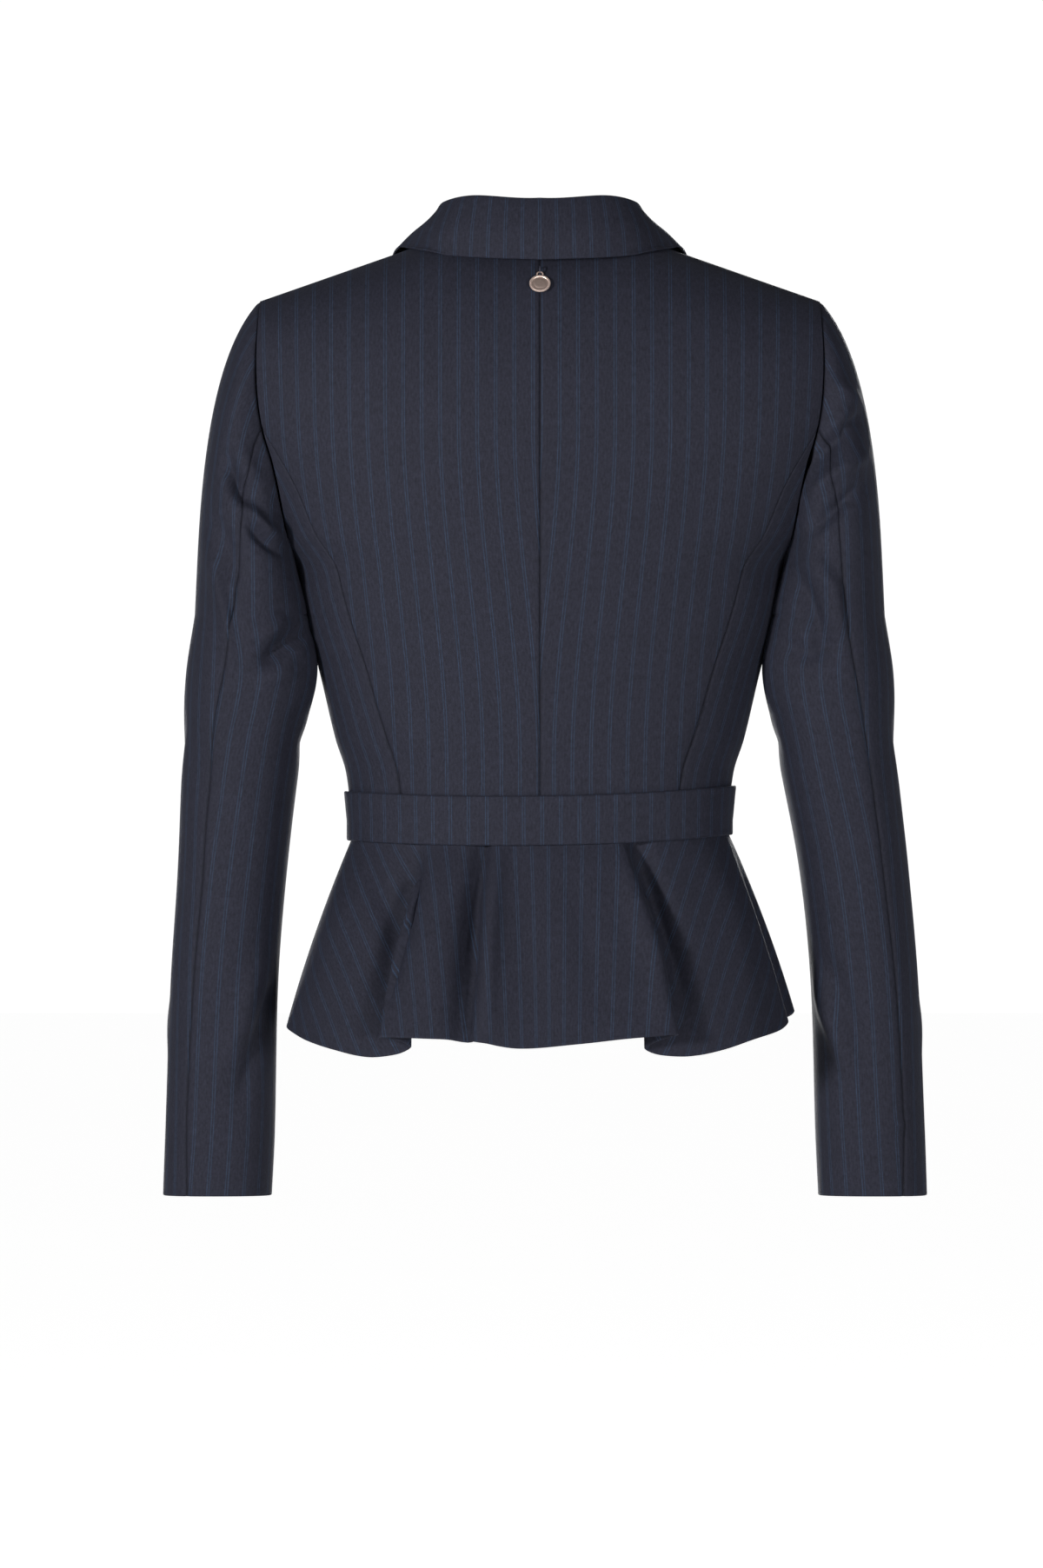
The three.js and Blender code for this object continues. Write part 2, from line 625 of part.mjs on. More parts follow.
function collarSection(t, c) {
  const row = sample(COLLAR, "t", Math.abs(t));
  const sideways = Math.sign(t) || 1;
  const neck = collarSeam(Math.abs(t));
  const edge = place(row);
  const out = edge.clone().sub(neck).setZ(0).normalize();
  const roll = neck.clone().addScaledVector(out, row.rollOut).add(vector(0, 0, row.rollRise));
  const lift = mix(COLLAR_LIFT.back, COLLAR_LIFT.front, inner(Math.abs(t), COLLAR_SIDE_NECK, 0.7));
  const inside = neck.clone().addScaledVector(out, -WALL).setZ(neck.z + lift);
  const shoulderDrop = Math.min(ROLL_SHOULDER, (roll.z - neck.z) / 3);
  const before = roll.clone().addScaledVector(out, -ROLL_HALF_GAP).setZ(roll.z - shoulderDrop);
  const after = roll.clone().addScaledVector(out, ROLL_HALF_GAP).setZ(roll.z - shoulderDrop);
  const middle = after.clone().lerp(edge, 0.5).addScaledVector(out, FALL_BULGE);
  const curve = new THREE.CatmullRomCurve3([inside, before, roll, after, middle, edge], false, "centripetal");
  const point = curve.getPoint(c);
  if (c > COLLAR_STAND_SHARE) clearOfForm(point);
  point.x *= sideways;
  return point;
}

const COLLAR_STAND_SHARE = 0.5;
const COLLAR_GRID = { around: 28, across: 11 };

function collar() {
  const around = steps(COLLAR_GRID.around).map((t) => 2 * t - 1);
  const points = grid(steps(COLLAR_GRID.across), around, collarSection);
  return wall(points, { turned: true });
}

// Lapels, made from the front panel's points, moved out

function frontAt(x, z) {
  const step = 2;
  const at = (offsetX, offsetZ) => onForm({ x: x + offsetX, z: z + offsetZ, behind: false });
  const across = at(step, 0).sub(at(-step, 0));
  return { point: at(0, 0), normal: across.cross(at(0, step).sub(at(0, -step))).normalize() };
}

function lapelPoint(w, t) {
  const start = rollEdge(mix(LAPEL_FROM, LAPEL_TO, t));
  const row = sample(LAPEL, "t", t);
  const out = LAPEL_INSET + w * row.width;
  const { point, normal } = frontAt(start.x + out * row.x, start.z + out * row.z);
  const lift = LAPEL_LIFT + LAPEL_ROLL * Math.sin(Math.PI * Math.min(1, w * 1.1)) * Math.min(1, t * 3);
  return point.addScaledVector(normal, lift);
}

const LAPEL_GRID = { along: 10, across: 6 };

function lapel() {
  const points = grid(steps(LAPEL_GRID.along), steps(LAPEL_GRID.across), lapelPoint);
  return wall(points, { turned: true });
}

// Belt: a strap that laps over itself at the centre front

function beltPoint(turn, height) {
  const z = waistHeight(turn) + mix(-BELT.drop, BELT.rise, height);
  const base = form(turn > 180 ? turn - 360 : turn, Math.max(z, WAIST));
  const beyond = turn - (CENTRE_FRONT - BELT.lap - BELT.ramp);
  const over = (BELT_WALL + SEAM_GAP) * THREE.MathUtils.smoothstep(beyond, 0, BELT.ramp);
  const out = vector(base.x, base.y, 0).normalize();
  return vector(base.x, base.y, z).addScaledVector(out, BELT.gap + BELT_WALL + over);
}

const BELT_GRID = { around: 56, across: 2 };

function belt() {
  const around = steps(BELT_GRID.around).map((t) =>
    mix(BELT.underlap - CENTRE_FRONT, CENTRE_FRONT + BELT.lap, t),
  );
  return wall(grid(steps(BELT_GRID.across), around, beltPoint), { thickness: BELT_WALL });
}

// Peplum

function peplumPoint(table, angle, v) {
  const hem = place(sample(table, "angle", angle));
  const waist = form(angle, WAIST).setZ(waistHeight(angle) - SEAM_GAP / 2);
  const down = 1 - v;
  const flare = inner(down, FLARE_FROM, 1);
  const out = flare * (1 + FLARE_EASE * (1 - flare));
  return vector(mix(waist.x, hem.x, out), mix(waist.y, hem.y, out), mix(waist.z, hem.z, down));
}

// Columns crowd where the hem turns: an even number between each two rows of the table
function peplumPiece(table, { between, rows }) {
  const columns = table.slice(1).flatMap((row, i) => {
    const count = Math.max(1, Math.round((row.angle - table[i].angle) / between));
    return steps(count).slice(i ? 1 : 0).map((t) => mix(table[i].angle, row.angle, t));
  });
  const heights = [...steps(rows).map((v) => v * (1 - FLARE_FROM)), 1];
  const points = grid(heights, columns, (angle, v) => peplumPoint(table, angle, v));
  const last = columns.length - 1;
  return wall(parted(points, ["start", "end"]), {
    direction: (p, i, j) => (j === 0 || j === last ? vector(-p.x, -p.y, 0).normalize() : null),
  });
}

const PEPLUM_GRID = { between: 3.4, rows: 6 };

function peplumRightFront() {
  const table = PEPLUM_FRONT.map((row) => {
    const rise = PEPLUM_RIGHT_HEM_RISE * inner(row.angle, 140, SIDE_SEAM);
    return { ...row, x: row.x + inner(row.angle, 110, SIDE_SEAM), z: row.z + rise };
  });
  return table.map((row) => ({ ...row, angle: -row.angle, x: -row.x })).toReversed();
}

// Button on the belt's lapped end, its axis along Y

function frontButton() {
  const disc = new THREE.CylinderGeometry(BUTTON.radius, BUTTON.radius, BUTTON.thickness, BUTTON.sides);
  const button = named("front_button", disc, horn);
  const middle = beltPoint(CENTRE_FRONT, 0.5);
  const proud = beltPoint(CENTRE_FRONT, 0.5 + BUTTON.radius / (BELT.rise + BELT.drop));
  button.position.set(0, proud.y - SEAM_GAP - BUTTON.thickness / 2, middle.z);
  return button;
}

// Charm: a plain disc whose eye hangs on a loop of thread sewn into the centre-back seam.
// The group's origin is the loop's middle, its Y axis points out of the cloth and its Z axis up along it.

function charmPlate() {
  const { radius, eyeRadius, eyeRise, thickness } = CHARM;
  const meet = (radius ** 2 - eyeRadius ** 2 + eyeRise ** 2) / (2 * eyeRise);
  const discTurn = Math.asin(meet / radius);
  const eyeTurn = Math.asin((meet - eyeRise) / eyeRadius);
  const outline = new THREE.Shape();
  outline.absarc(0, 0, radius, Math.PI - discTurn, 2 * Math.PI + discTurn, false);
  outline.absarc(0, eyeRise, eyeRadius, eyeTurn, Math.PI - eyeTurn, false);
  outline.holes.push(new THREE.Path().absarc(0, eyeRise, CHARM.eyeHole, 0, 2 * Math.PI, true));
  const options = { depth: thickness, bevelEnabled: false, curveSegments: CHARM.sides };
  return new THREE.ExtrudeGeometry(outline, options).translate(0, -eyeRise, -thickness / 2).rotateX(Math.PI / 2);
}

function loopWire() {
  const { radius, wire, clearance, sides, bends } = CHARM_LOOP;
  const foot = clearance - charmHeight();
  const bend = steps(bends).map((t) => vector(0, radius * Math.sin(Math.PI * t), radius * Math.cos(Math.PI * t)));
  const path = new THREE.CurvePath();
  const line = [vector(0, foot, radius), ...bend, vector(0, foot, -radius)];
  line.slice(1).forEach((p, i) => path.add(new THREE.LineCurve3(line[i], p)));
  const section = new THREE.Shape().absarc(0, 0, wire, 0, 2 * Math.PI);
  const options = { steps: line.length - 1, curveSegments: sides, bevelEnabled: false, extrudePath: path };
  return new THREE.ExtrudeGeometry(section, options);
}

// Height of the plate's middle over the cloth
function charmHeight() {
  return CHARM_LOOP.clearance + CHARM.thickness / 2 + SEAM_GAP;
}

function centreBackAt(z) {
  let [low, high] = [LOWER_SHARE, 1];
  while (high - low > 1e-4) {
    const v = (low + high) / 2;
    if (bodicePoint(PANELS.back, 0, v).z < z) low = v;
    else high = v;
  }
  return { point: bodicePoint(PANELS.back, 0, low), normal: centreBackDirection(low, 1).negate() };
}

function hangingCharm() {
  const { point, normal } = centreBackAt(CHARM_LOOP.z);
  const place = new THREE.Group();
  place.position.copy(point).addScaledVector(normal, charmHeight());
  place.rotation.x = Math.atan2(normal.z, normal.y);
  const plate = named("charm", charmPlate(), roseMetal);
  plate.position.z = -CHARM_LOOP.radius;
  place.add(plate, named("charm_loop", loopWire(), thread));
  return place;
}

// Materials

const navy = (name) => {
  const material = new THREE.MeshStandardMaterial({ color: 0x2e3140, roughness: 0.82, metalness: 0 });
  material.name = name;
  return material;
};
const horn = new THREE.MeshStandardMaterial({ color: 0x1c1c22, roughness: 0.4, metalness: 0 });
const roseMetal = new THREE.MeshStandardMaterial({ color: 0xc9b3ac, roughness: 0.3, metalness: 1 });
const thread = new THREE.MeshStandardMaterial({ color: 0x262836, roughness: 0.9, metalness: 0 });

function named(name, geometry, material = navy(name)) {
  const mesh = new THREE.Mesh(geometry, material);
  mesh.name = name;
  return mesh;
}

const blazer = new THREE.Group();
blazer.name = "blazer";

function addPair(name, make) {
  blazer.add(named(`${name}_left`, make(1)));
  blazer.add(named(`${name}_right`, mirrored(make(-1))));
}

addPair("back", (hand) => bodicePanel("back", hand));
addPair("side_back", (hand) => bodicePanel("sideBack", hand));
addPair("front", (hand) => bodicePanel("front", hand));
for (const piece of ["upper", "under"]) {
  addPair(`${piece}_sleeve`, (hand) => sleevePiece(hand > 0 ? "left" : "right", piece));
}
blazer.add(named("collar", collar()));
addPair("lapel", lapel);
blazer.add(named("belt", belt()));
blazer.add(named("peplum_back", peplumPiece(PEPLUM_BACK, PEPLUM_GRID)));
blazer.add(named("peplum_front_left", peplumPiece(PEPLUM_FRONT, PEPLUM_GRID)));
blazer.add(named("peplum_front_right", peplumPiece(peplumRightFront(), PEPLUM_GRID)));
blazer.add(frontButton(), hangingCharm());

export default blazer;
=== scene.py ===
"""A fitted pinstriped blazer with a belt and a flared peplum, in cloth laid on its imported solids.

Sizes are millimetres on the garment and become metres in the meshes. +Z is up, the front faces -Y
and the wearer's left is towards +X.
"""

import logging
import math
from collections.abc import Callable, Sequence
from dataclasses import dataclass, field
from enum import Enum

import bmesh
import bpy
import numpy as np
from mathutils import Matrix, Vector


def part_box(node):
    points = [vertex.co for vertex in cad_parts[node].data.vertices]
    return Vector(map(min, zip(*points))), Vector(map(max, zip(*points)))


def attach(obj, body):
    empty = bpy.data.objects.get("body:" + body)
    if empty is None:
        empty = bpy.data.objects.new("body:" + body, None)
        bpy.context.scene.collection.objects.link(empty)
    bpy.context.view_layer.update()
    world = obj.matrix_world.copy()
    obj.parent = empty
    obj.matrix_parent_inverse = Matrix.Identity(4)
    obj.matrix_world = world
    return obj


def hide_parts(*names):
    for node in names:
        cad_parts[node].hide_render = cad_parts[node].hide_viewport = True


Array = np.ndarray
Edge = tuple[Array, Array, Array]
Colour = tuple[float, float, float, float]
Material, Object, Shape = bpy.types.Material, bpy.types.Object, bmesh.types.BMesh
Tree, Socket = bpy.types.NodeTree, bpy.types.NodeSocket

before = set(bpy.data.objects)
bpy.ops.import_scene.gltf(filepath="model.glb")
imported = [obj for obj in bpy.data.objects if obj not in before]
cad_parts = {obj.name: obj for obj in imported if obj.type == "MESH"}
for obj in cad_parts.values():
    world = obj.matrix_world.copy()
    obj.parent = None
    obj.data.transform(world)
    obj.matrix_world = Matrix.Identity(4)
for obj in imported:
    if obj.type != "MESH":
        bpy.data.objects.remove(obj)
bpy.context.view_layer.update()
LOG = logging.getLogger("blazer")
MM = 0.001
FINENESS = 2
GARMENT = "garment"
SHARP_ANGLE = 40
# Steps in which a distance round a form is measured.
GIRTH_STEPS = 25
# How squarely cloth must face the viewer for a fold to begin and to be full.
FACING = (0.05, 0.45)
# How a fold fades out towards its two ends.
END_SHARE, TAPER = 0.02, 0.7
# Turns in degrees at which the rows of a hem's bend lie.
HEM_BEND = np.array([135.0, 90.0, 45.0])


# Numbers and curves.


def mix(a: Array, b: Array, t: Array) -> Array:
    """The value a share t of the way from a to b."""
    return a + (b - a) * t


def inner(value: Array, start: Array, end: Array) -> Array:
    """The share of the way from start to end, kept between 0 and 1."""
    return np.clip((value - start) / (end - start), 0, 1)


def eased(value: Array, start: float, end: float) -> Array:
    """The share of the way from start to end, slow at both ends."""
    t = inner(value, start, end)
    return t * t * (3 - 2 * t)


def rounded(value: Array, squareness: float) -> Array:
    """A sine or cosine bent towards a rounded square."""
    return np.sign(value) * np.abs(value) ** (2 / squareness)


def unit(vectors: Array) -> Array:
    """The vectors at length 1."""
    return vectors / np.maximum(np.linalg.norm(vectors, axis=-1, keepdims=True), 1e-12)


def hermite(a: Array, slope_a: Array, b: Array, slope_b: Array, t: Array) -> Array:
    """A cubic through two values with their slopes."""
    t2, t3 = t * t, t * t * t
    share_a, share_b = 2 * t3 - 3 * t2 + 1, 3 * t2 - 2 * t3
    return share_a * a + (t3 - 2 * t2 + t) * slope_a + share_b * b + (t3 - t2) * slope_b


def steps_through(corners: Sequence[float], counts: Sequence[int], near: Sequence[float] = ()) -> Array:
    """Even steps between corners, with fine ones beside the first and the last.

    Args:
        corners: shares that each lie on a step.
        counts: how many coarse steps between each two corners.
        near: distances from both ends at which fine steps lie.

    Returns:
        The steps in order.
    """
    found = [corners[0]]
    for start, end, count in zip(corners, corners[1:], counts):
        found += list(np.linspace(start, end, FINENESS * count + 1)[1:])
    fine = [corners[0] + n for n in near] + [corners[-1] - n for n in near]
    kept = [x for x in found if all(abs(x - f) > near[0] / 2 for f in fine)] if near else found
    return np.array(sorted(kept + fine))


class Table:
    """Sizes by row, read smoothly between the rows. The first column is the key."""

    def __init__(self, columns: str, *rows: tuple[float, ...]) -> None:
        """Keeps the rows under the names in columns."""
        self.columns = columns.split()
        self.rows = np.array(rows, float)

    def at(self, key: Array, columns: str) -> list[Array]:
        """The named columns where the key column has this value.

        Args:
            key: values of the key column, of any shape.
            columns: names of the columns to read.

        Returns:
            One array of key's shape for each column.
        """
        key = np.asarray(key, float)
        keys = self.rows[:, 0]
        last = len(keys) - 1
        i = np.clip(np.searchsorted(keys, key, side="left") - 1, 0, last - 1)
        a, b = self.rows[i], self.rows[i + 1]
        before, after = self.rows[np.maximum(i - 1, 0)], self.rows[np.minimum(i + 2, last)]
        span = (b - a)[..., :1]
        t = np.clip((key[..., None] - a[..., :1]) / span, 0, 1)
        slope_a = (b - before) / (b - before)[..., :1] * span
        slope_b = (after - a) / (after - a)[..., :1] * span
        row = hermite(a, slope_a, b, slope_b, t)
        return [row[..., self.columns.index(name)] for name in columns.split()]


# Cloth.


class View(Enum):
    """The side from which a fold's path is drawn: its across axis, and the way it faces."""

    BACK = (0, (0.0, 1.0, 0.0))
    FRONT = (0, (0.0, -1.0, 0.0))
    LEFT = (1, (1.0, 0.0, 0.0))
    RIGHT = (1, (-1.0, 0.0, 0.0))


@dataclass(frozen=True)
class Fold:
    """A soft ridge or trough in the cloth, along a path seen from one side.

    height is positive for a ridge. width is the half width of the bell across it, and lean makes
    the side on the right of the path wider and the other narrower.
    """

    view: View
    path: tuple[tuple[float, float], ...]
    height: float
    width: float
    lean: float = 0.0

    def lift(self, points: Array, normals: Array) -> Array:
        """How far each point moves along its normal."""
        across, facing = self.view.value
        flat = points[..., [across, 2]]
        best = np.full(flat.shape[:-1], np.inf)
        signed, along = np.zeros_like(best), np.zeros_like(best)
        path = np.array(self.path, float)
        lengths = np.linalg.norm(np.diff(path, axis=0), axis=1)
        before = np.concatenate([[0], np.cumsum(lengths)]) / lengths.sum()
        for k, (start, end) in enumerate(zip(path, path[1:])):
            run = end - start
            t = ((flat - start) @ run) / (run @ run)
            off = flat - start - np.clip(t, 0, 1)[..., None] * run
            distance = np.linalg.norm(off, axis=-1)
            side = np.sign(run[0] * off[..., 1] - run[1] * off[..., 0])
            nearer = distance < best
            best = np.where(nearer, distance, best)
            signed = np.where(nearer, distance * side, signed)
            along = np.where(nearer, mix(before[k], before[k + 1], np.clip(t, 0, 1)), along)
        width = self.width * (1 - self.lean * np.sign(signed))
        seen = eased(normals @ np.array(facing), *FACING)
        taper = np.sin(np.pi * np.clip(along, END_SHARE, 1 - END_SHARE)) ** TAPER
        return self.height * np.exp(-((signed / width) ** 2)) * taper * seen


def seen_from(view: View, *rows: tuple) -> tuple[Fold, ...]:
    """Folds drawn from one side, each row a path, a height, a half width and sometimes a lean."""
    return tuple(Fold(view, *row) for row in rows)


@dataclass
class Cloth:
    """One cut piece as a grid: its outer points, and where each lies on the flat cut.

    Rows run upwards and columns so that up crossed with along faces out. cut_column, where the
    piece has a dart, is the column that it is sewn along, and flat_beyond the flat places past it.
    """

    points: Array
    flat: Array
    seam: Array | None = None
    cut_column: int | None = None
    flat_beyond: Array | None = None

    def normals(self) -> Array:
        """The way out at each point."""
        along = np.gradient(self.points, axis=1)
        up = np.gradient(self.points, axis=0)
        return unit(np.cross(up, along))

    def folded(self, folds: Sequence[Fold]) -> "Cloth":
        """The same cloth with these folds in it."""
        normals = self.normals()
        lift = sum((fold.lift(self.points, normals) for fold in folds), np.zeros(self.points.shape[:2]))
        self.points = self.points + normals * lift[..., None]
        return self

    def from_edges(self, edges: str) -> Array:
        """Distance from the nearest of these edges, out of start, end, bottom, top and cut."""
        across, up = lengths_along(self.points), heights(self.points)
        away = {"start": across, "end": across[:, -1:] - across, "bottom": up, "top": up[-1:] - up}
        if self.cut_column is not None:
            beside = across - across[:, self.cut_column : self.cut_column + 1]
            away["cut"] = np.hypot(beside, self.cut_top_distance(up))
        return np.min([away[name] for name in edges.split()], axis=0)

    def sewn(self, edges: str, dip: float = 0.8, reach: float = 1.4, lap: float = 0.32) -> "Cloth":
        """The same cloth drawn in where it is sewn.

        Args:
            edges: names of the sewn edges.
            dip: depth of the groove in millimetres.
            reach: half width of the groove.
            lap: how far the edge goes on into the seam, so that it closes on its neighbour.

        Returns:
            This cloth, with its seams marked for the finish's painted shade.
        """
        groove = np.exp(-((self.from_edges(edges) / reach) ** 2))
        self.points = self.points - self.normals() * (dip * groove)[..., None]
        sides = {
            "start": (np.s_[:, 0], np.s_[:, 1]), "end": (np.s_[:, -1], np.s_[:, -2]),
            "bottom": (np.s_[0], np.s_[1]), "top": (np.s_[-1], np.s_[-2]),
        }
        for edge, next_in in (sides[name] for name in edges.split() if name in sides):
            self.points[edge] += unit(self.points[edge] - self.points[next_in]) * lap
        self.seam = groove
        return self

    def turned(self, edges: str, radius: float = 1.0) -> "Cloth":
        """The same cloth with these edges turned under, so that they are rounded over."""
        short = 1 - np.clip(self.from_edges(edges) / radius, 0, 1)
        self.points = self.points - self.normals() * (radius * (1 - np.sqrt(1 - 0.9 * short**2)))[..., None]
        return self

    def cut_top_distance(self, up: Array) -> Array:
        """Distance above the dart's upper end, 0 along the dart itself."""
        apart = np.linalg.norm(self.flat - self.flat_beyond, axis=2)[:, self.cut_column]
        top = up[apart > 0.5, self.cut_column].max()
        return np.maximum(0, up - top)

    def hemmed(self, rise: float, gap: float = 1.9) -> "Cloth":
        """The same cloth with its lower edge turned up inside.

        Args:
            rise: height of the turning in millimetres.
            gap: distance between the two layers.

        Returns:
            This cloth, with the turning's rows before its own.
        """
        normals = self.normals()
        up = np.cumsum(np.linalg.norm(np.diff(self.points, axis=0), axis=2).mean(axis=1))
        count = int(np.searchsorted(up, rise)) + 1
        inside = (self.points - normals * gap)[count::-1]
        down = unit(self.points[0] - self.points[1])
        turns = np.radians(HEM_BEND)[:, None, None]
        bend = self.points[0] + (normals[0] * (np.cos(turns) - 1) + down * np.sin(turns)) * gap / 2
        self.points = np.concatenate([inside, bend, self.points])
        under = self.flat[count::-1].copy()
        under[..., 1] = 2 * self.flat[0, :, 1] - under[..., 1] - gap
        fold = np.repeat(self.flat[:1], len(HEM_BEND), axis=0)
        fold[..., 1] -= gap * (HEM_BEND / 180)[:, None]
        self.flat = np.concatenate([under, fold, self.flat])
        if self.seam is not None:
            bend_seam = self.seam[[0] * len(HEM_BEND)]
            self.seam = np.concatenate([self.seam[count::-1], bend_seam, self.seam])
        return self

    def mirrored(self) -> "Cloth":
        """The same cloth on the other side of the garment."""
        self.points = self.points[:, ::-1] * np.array([-1.0, 1.0, 1.0])
        self.flat = self.flat[:, ::-1] * np.array([-1.0, 1.0])
        if self.seam is not None:
            self.seam = self.seam[:, ::-1]
        if self.cut_column is not None:
            self.cut_column = self.points.shape[1] - 1 - self.cut_column
            self.flat, self.flat_beyond = self.flat_beyond[:, ::-1] * np.array([-1.0, 1.0]), self.flat
        return self

    def area(self) -> float:
        """Area of the cloth in square metres."""
        a, b = self.points[:-1, :-1], self.points[1:, 1:]
        c, d = self.points[:-1, 1:], self.points[1:, :-1]
        return float(np.linalg.norm(np.cross(b - a, d - c), axis=2).sum() / 2) * MM * MM


def heights(points: Array) -> Array:
    """Distance up each column of a grid from its lowest point."""
    rise = np.linalg.norm(np.diff(points, axis=0), axis=2)
    return np.concatenate([np.zeros((1, points.shape[1])), np.cumsum(rise, axis=0)])


def lengths_along(points: Array) -> Array:
    """Distance along each row of a grid from its first point."""
    run = np.linalg.norm(np.diff(points, axis=1), axis=2)
    return np.concatenate([np.zeros((points.shape[0], 1)), np.cumsum(run, axis=1)], axis=1)


def placed(name: str, shape: Shape, finish: Material) -> Object:
    """Makes a smooth object with its finish from a shape, which is freed, and links it."""
    mesh = bpy.data.meshes.new(name)
    shape.to_mesh(mesh)
    shape.free()
    mesh.materials.append(finish)
    mesh.polygons.foreach_set("use_smooth", np.ones(len(mesh.polygons), bool))
    piece = bpy.data.objects.new(name, mesh)
    bpy.context.scene.collection.objects.link(piece)
    return piece


@dataclass(frozen=True)
class Sheet:
    """A cut piece's flat size in millimetres and how it is held."""

    width: float
    length: float
    held: str
    rests_on: tuple[str, ...] = ()


def cloth_piece(
    name: str, cloth: Cloth, node: str, thickness: float, finish: Material
) -> Object:
    """Makes a cut piece's mesh and puts it in the place of its solid.

    Args:
        name: name of the new piece.
        cloth: its grid.
        node: the solid that it stands for.
        thickness: thickness of the cloth in millimetres.
        finish: its material.

    Returns:
        The finished object.
    """
    rows, columns = cloth.points.shape[:2]
    shell = bmesh.new()
    bmesh.ops.create_grid(shell, x_segments=columns - 1, y_segments=rows - 1, size=1)
    for vertex, place in zip(shell.verts, cloth.points.reshape(-1, 3) * MM):
        vertex.co = place
    bmesh.ops.reverse_faces(shell, faces=shell.faces)
    piece = placed(name, shell, finish)
    mesh = piece.data
    corner = np.empty(len(mesh.loops), np.int64)
    mesh.loops.foreach_get("vertex_index", corner)
    flat = cloth.flat.reshape(-1, 2)[corner]
    if cloth.cut_column is not None:
        column = (corner % columns).reshape(-1, 4).min(axis=1).repeat(4)
        beyond = cloth.flat_beyond.reshape(-1, 2)[corner]
        flat = np.where((column >= cloth.cut_column)[:, None], beyond, flat)
    mesh.uv_layers.new(name="cut").data.foreach_set("uv", (flat * MM).astype(np.float32).ravel())
    # The seams' grooves, which the wool finish darkens as painted shade.
    seam = np.zeros(rows * columns) if cloth.seam is None else cloth.seam.ravel()
    mesh.attributes.new("seam", "FLOAT", "POINT").data.foreach_set("value", seam.astype(np.float32))
    wall = piece.modifiers.new("wall", "SOLIDIFY")
    wall.thickness, wall.offset, wall.use_even_offset = thickness * MM, -1, False
    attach(piece, GARMENT)
    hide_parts(node)
    LOG.info("%s: %d by %d, %.4f m2 of cloth", name, rows, columns, cloth.area())
    return piece


# The worn form.


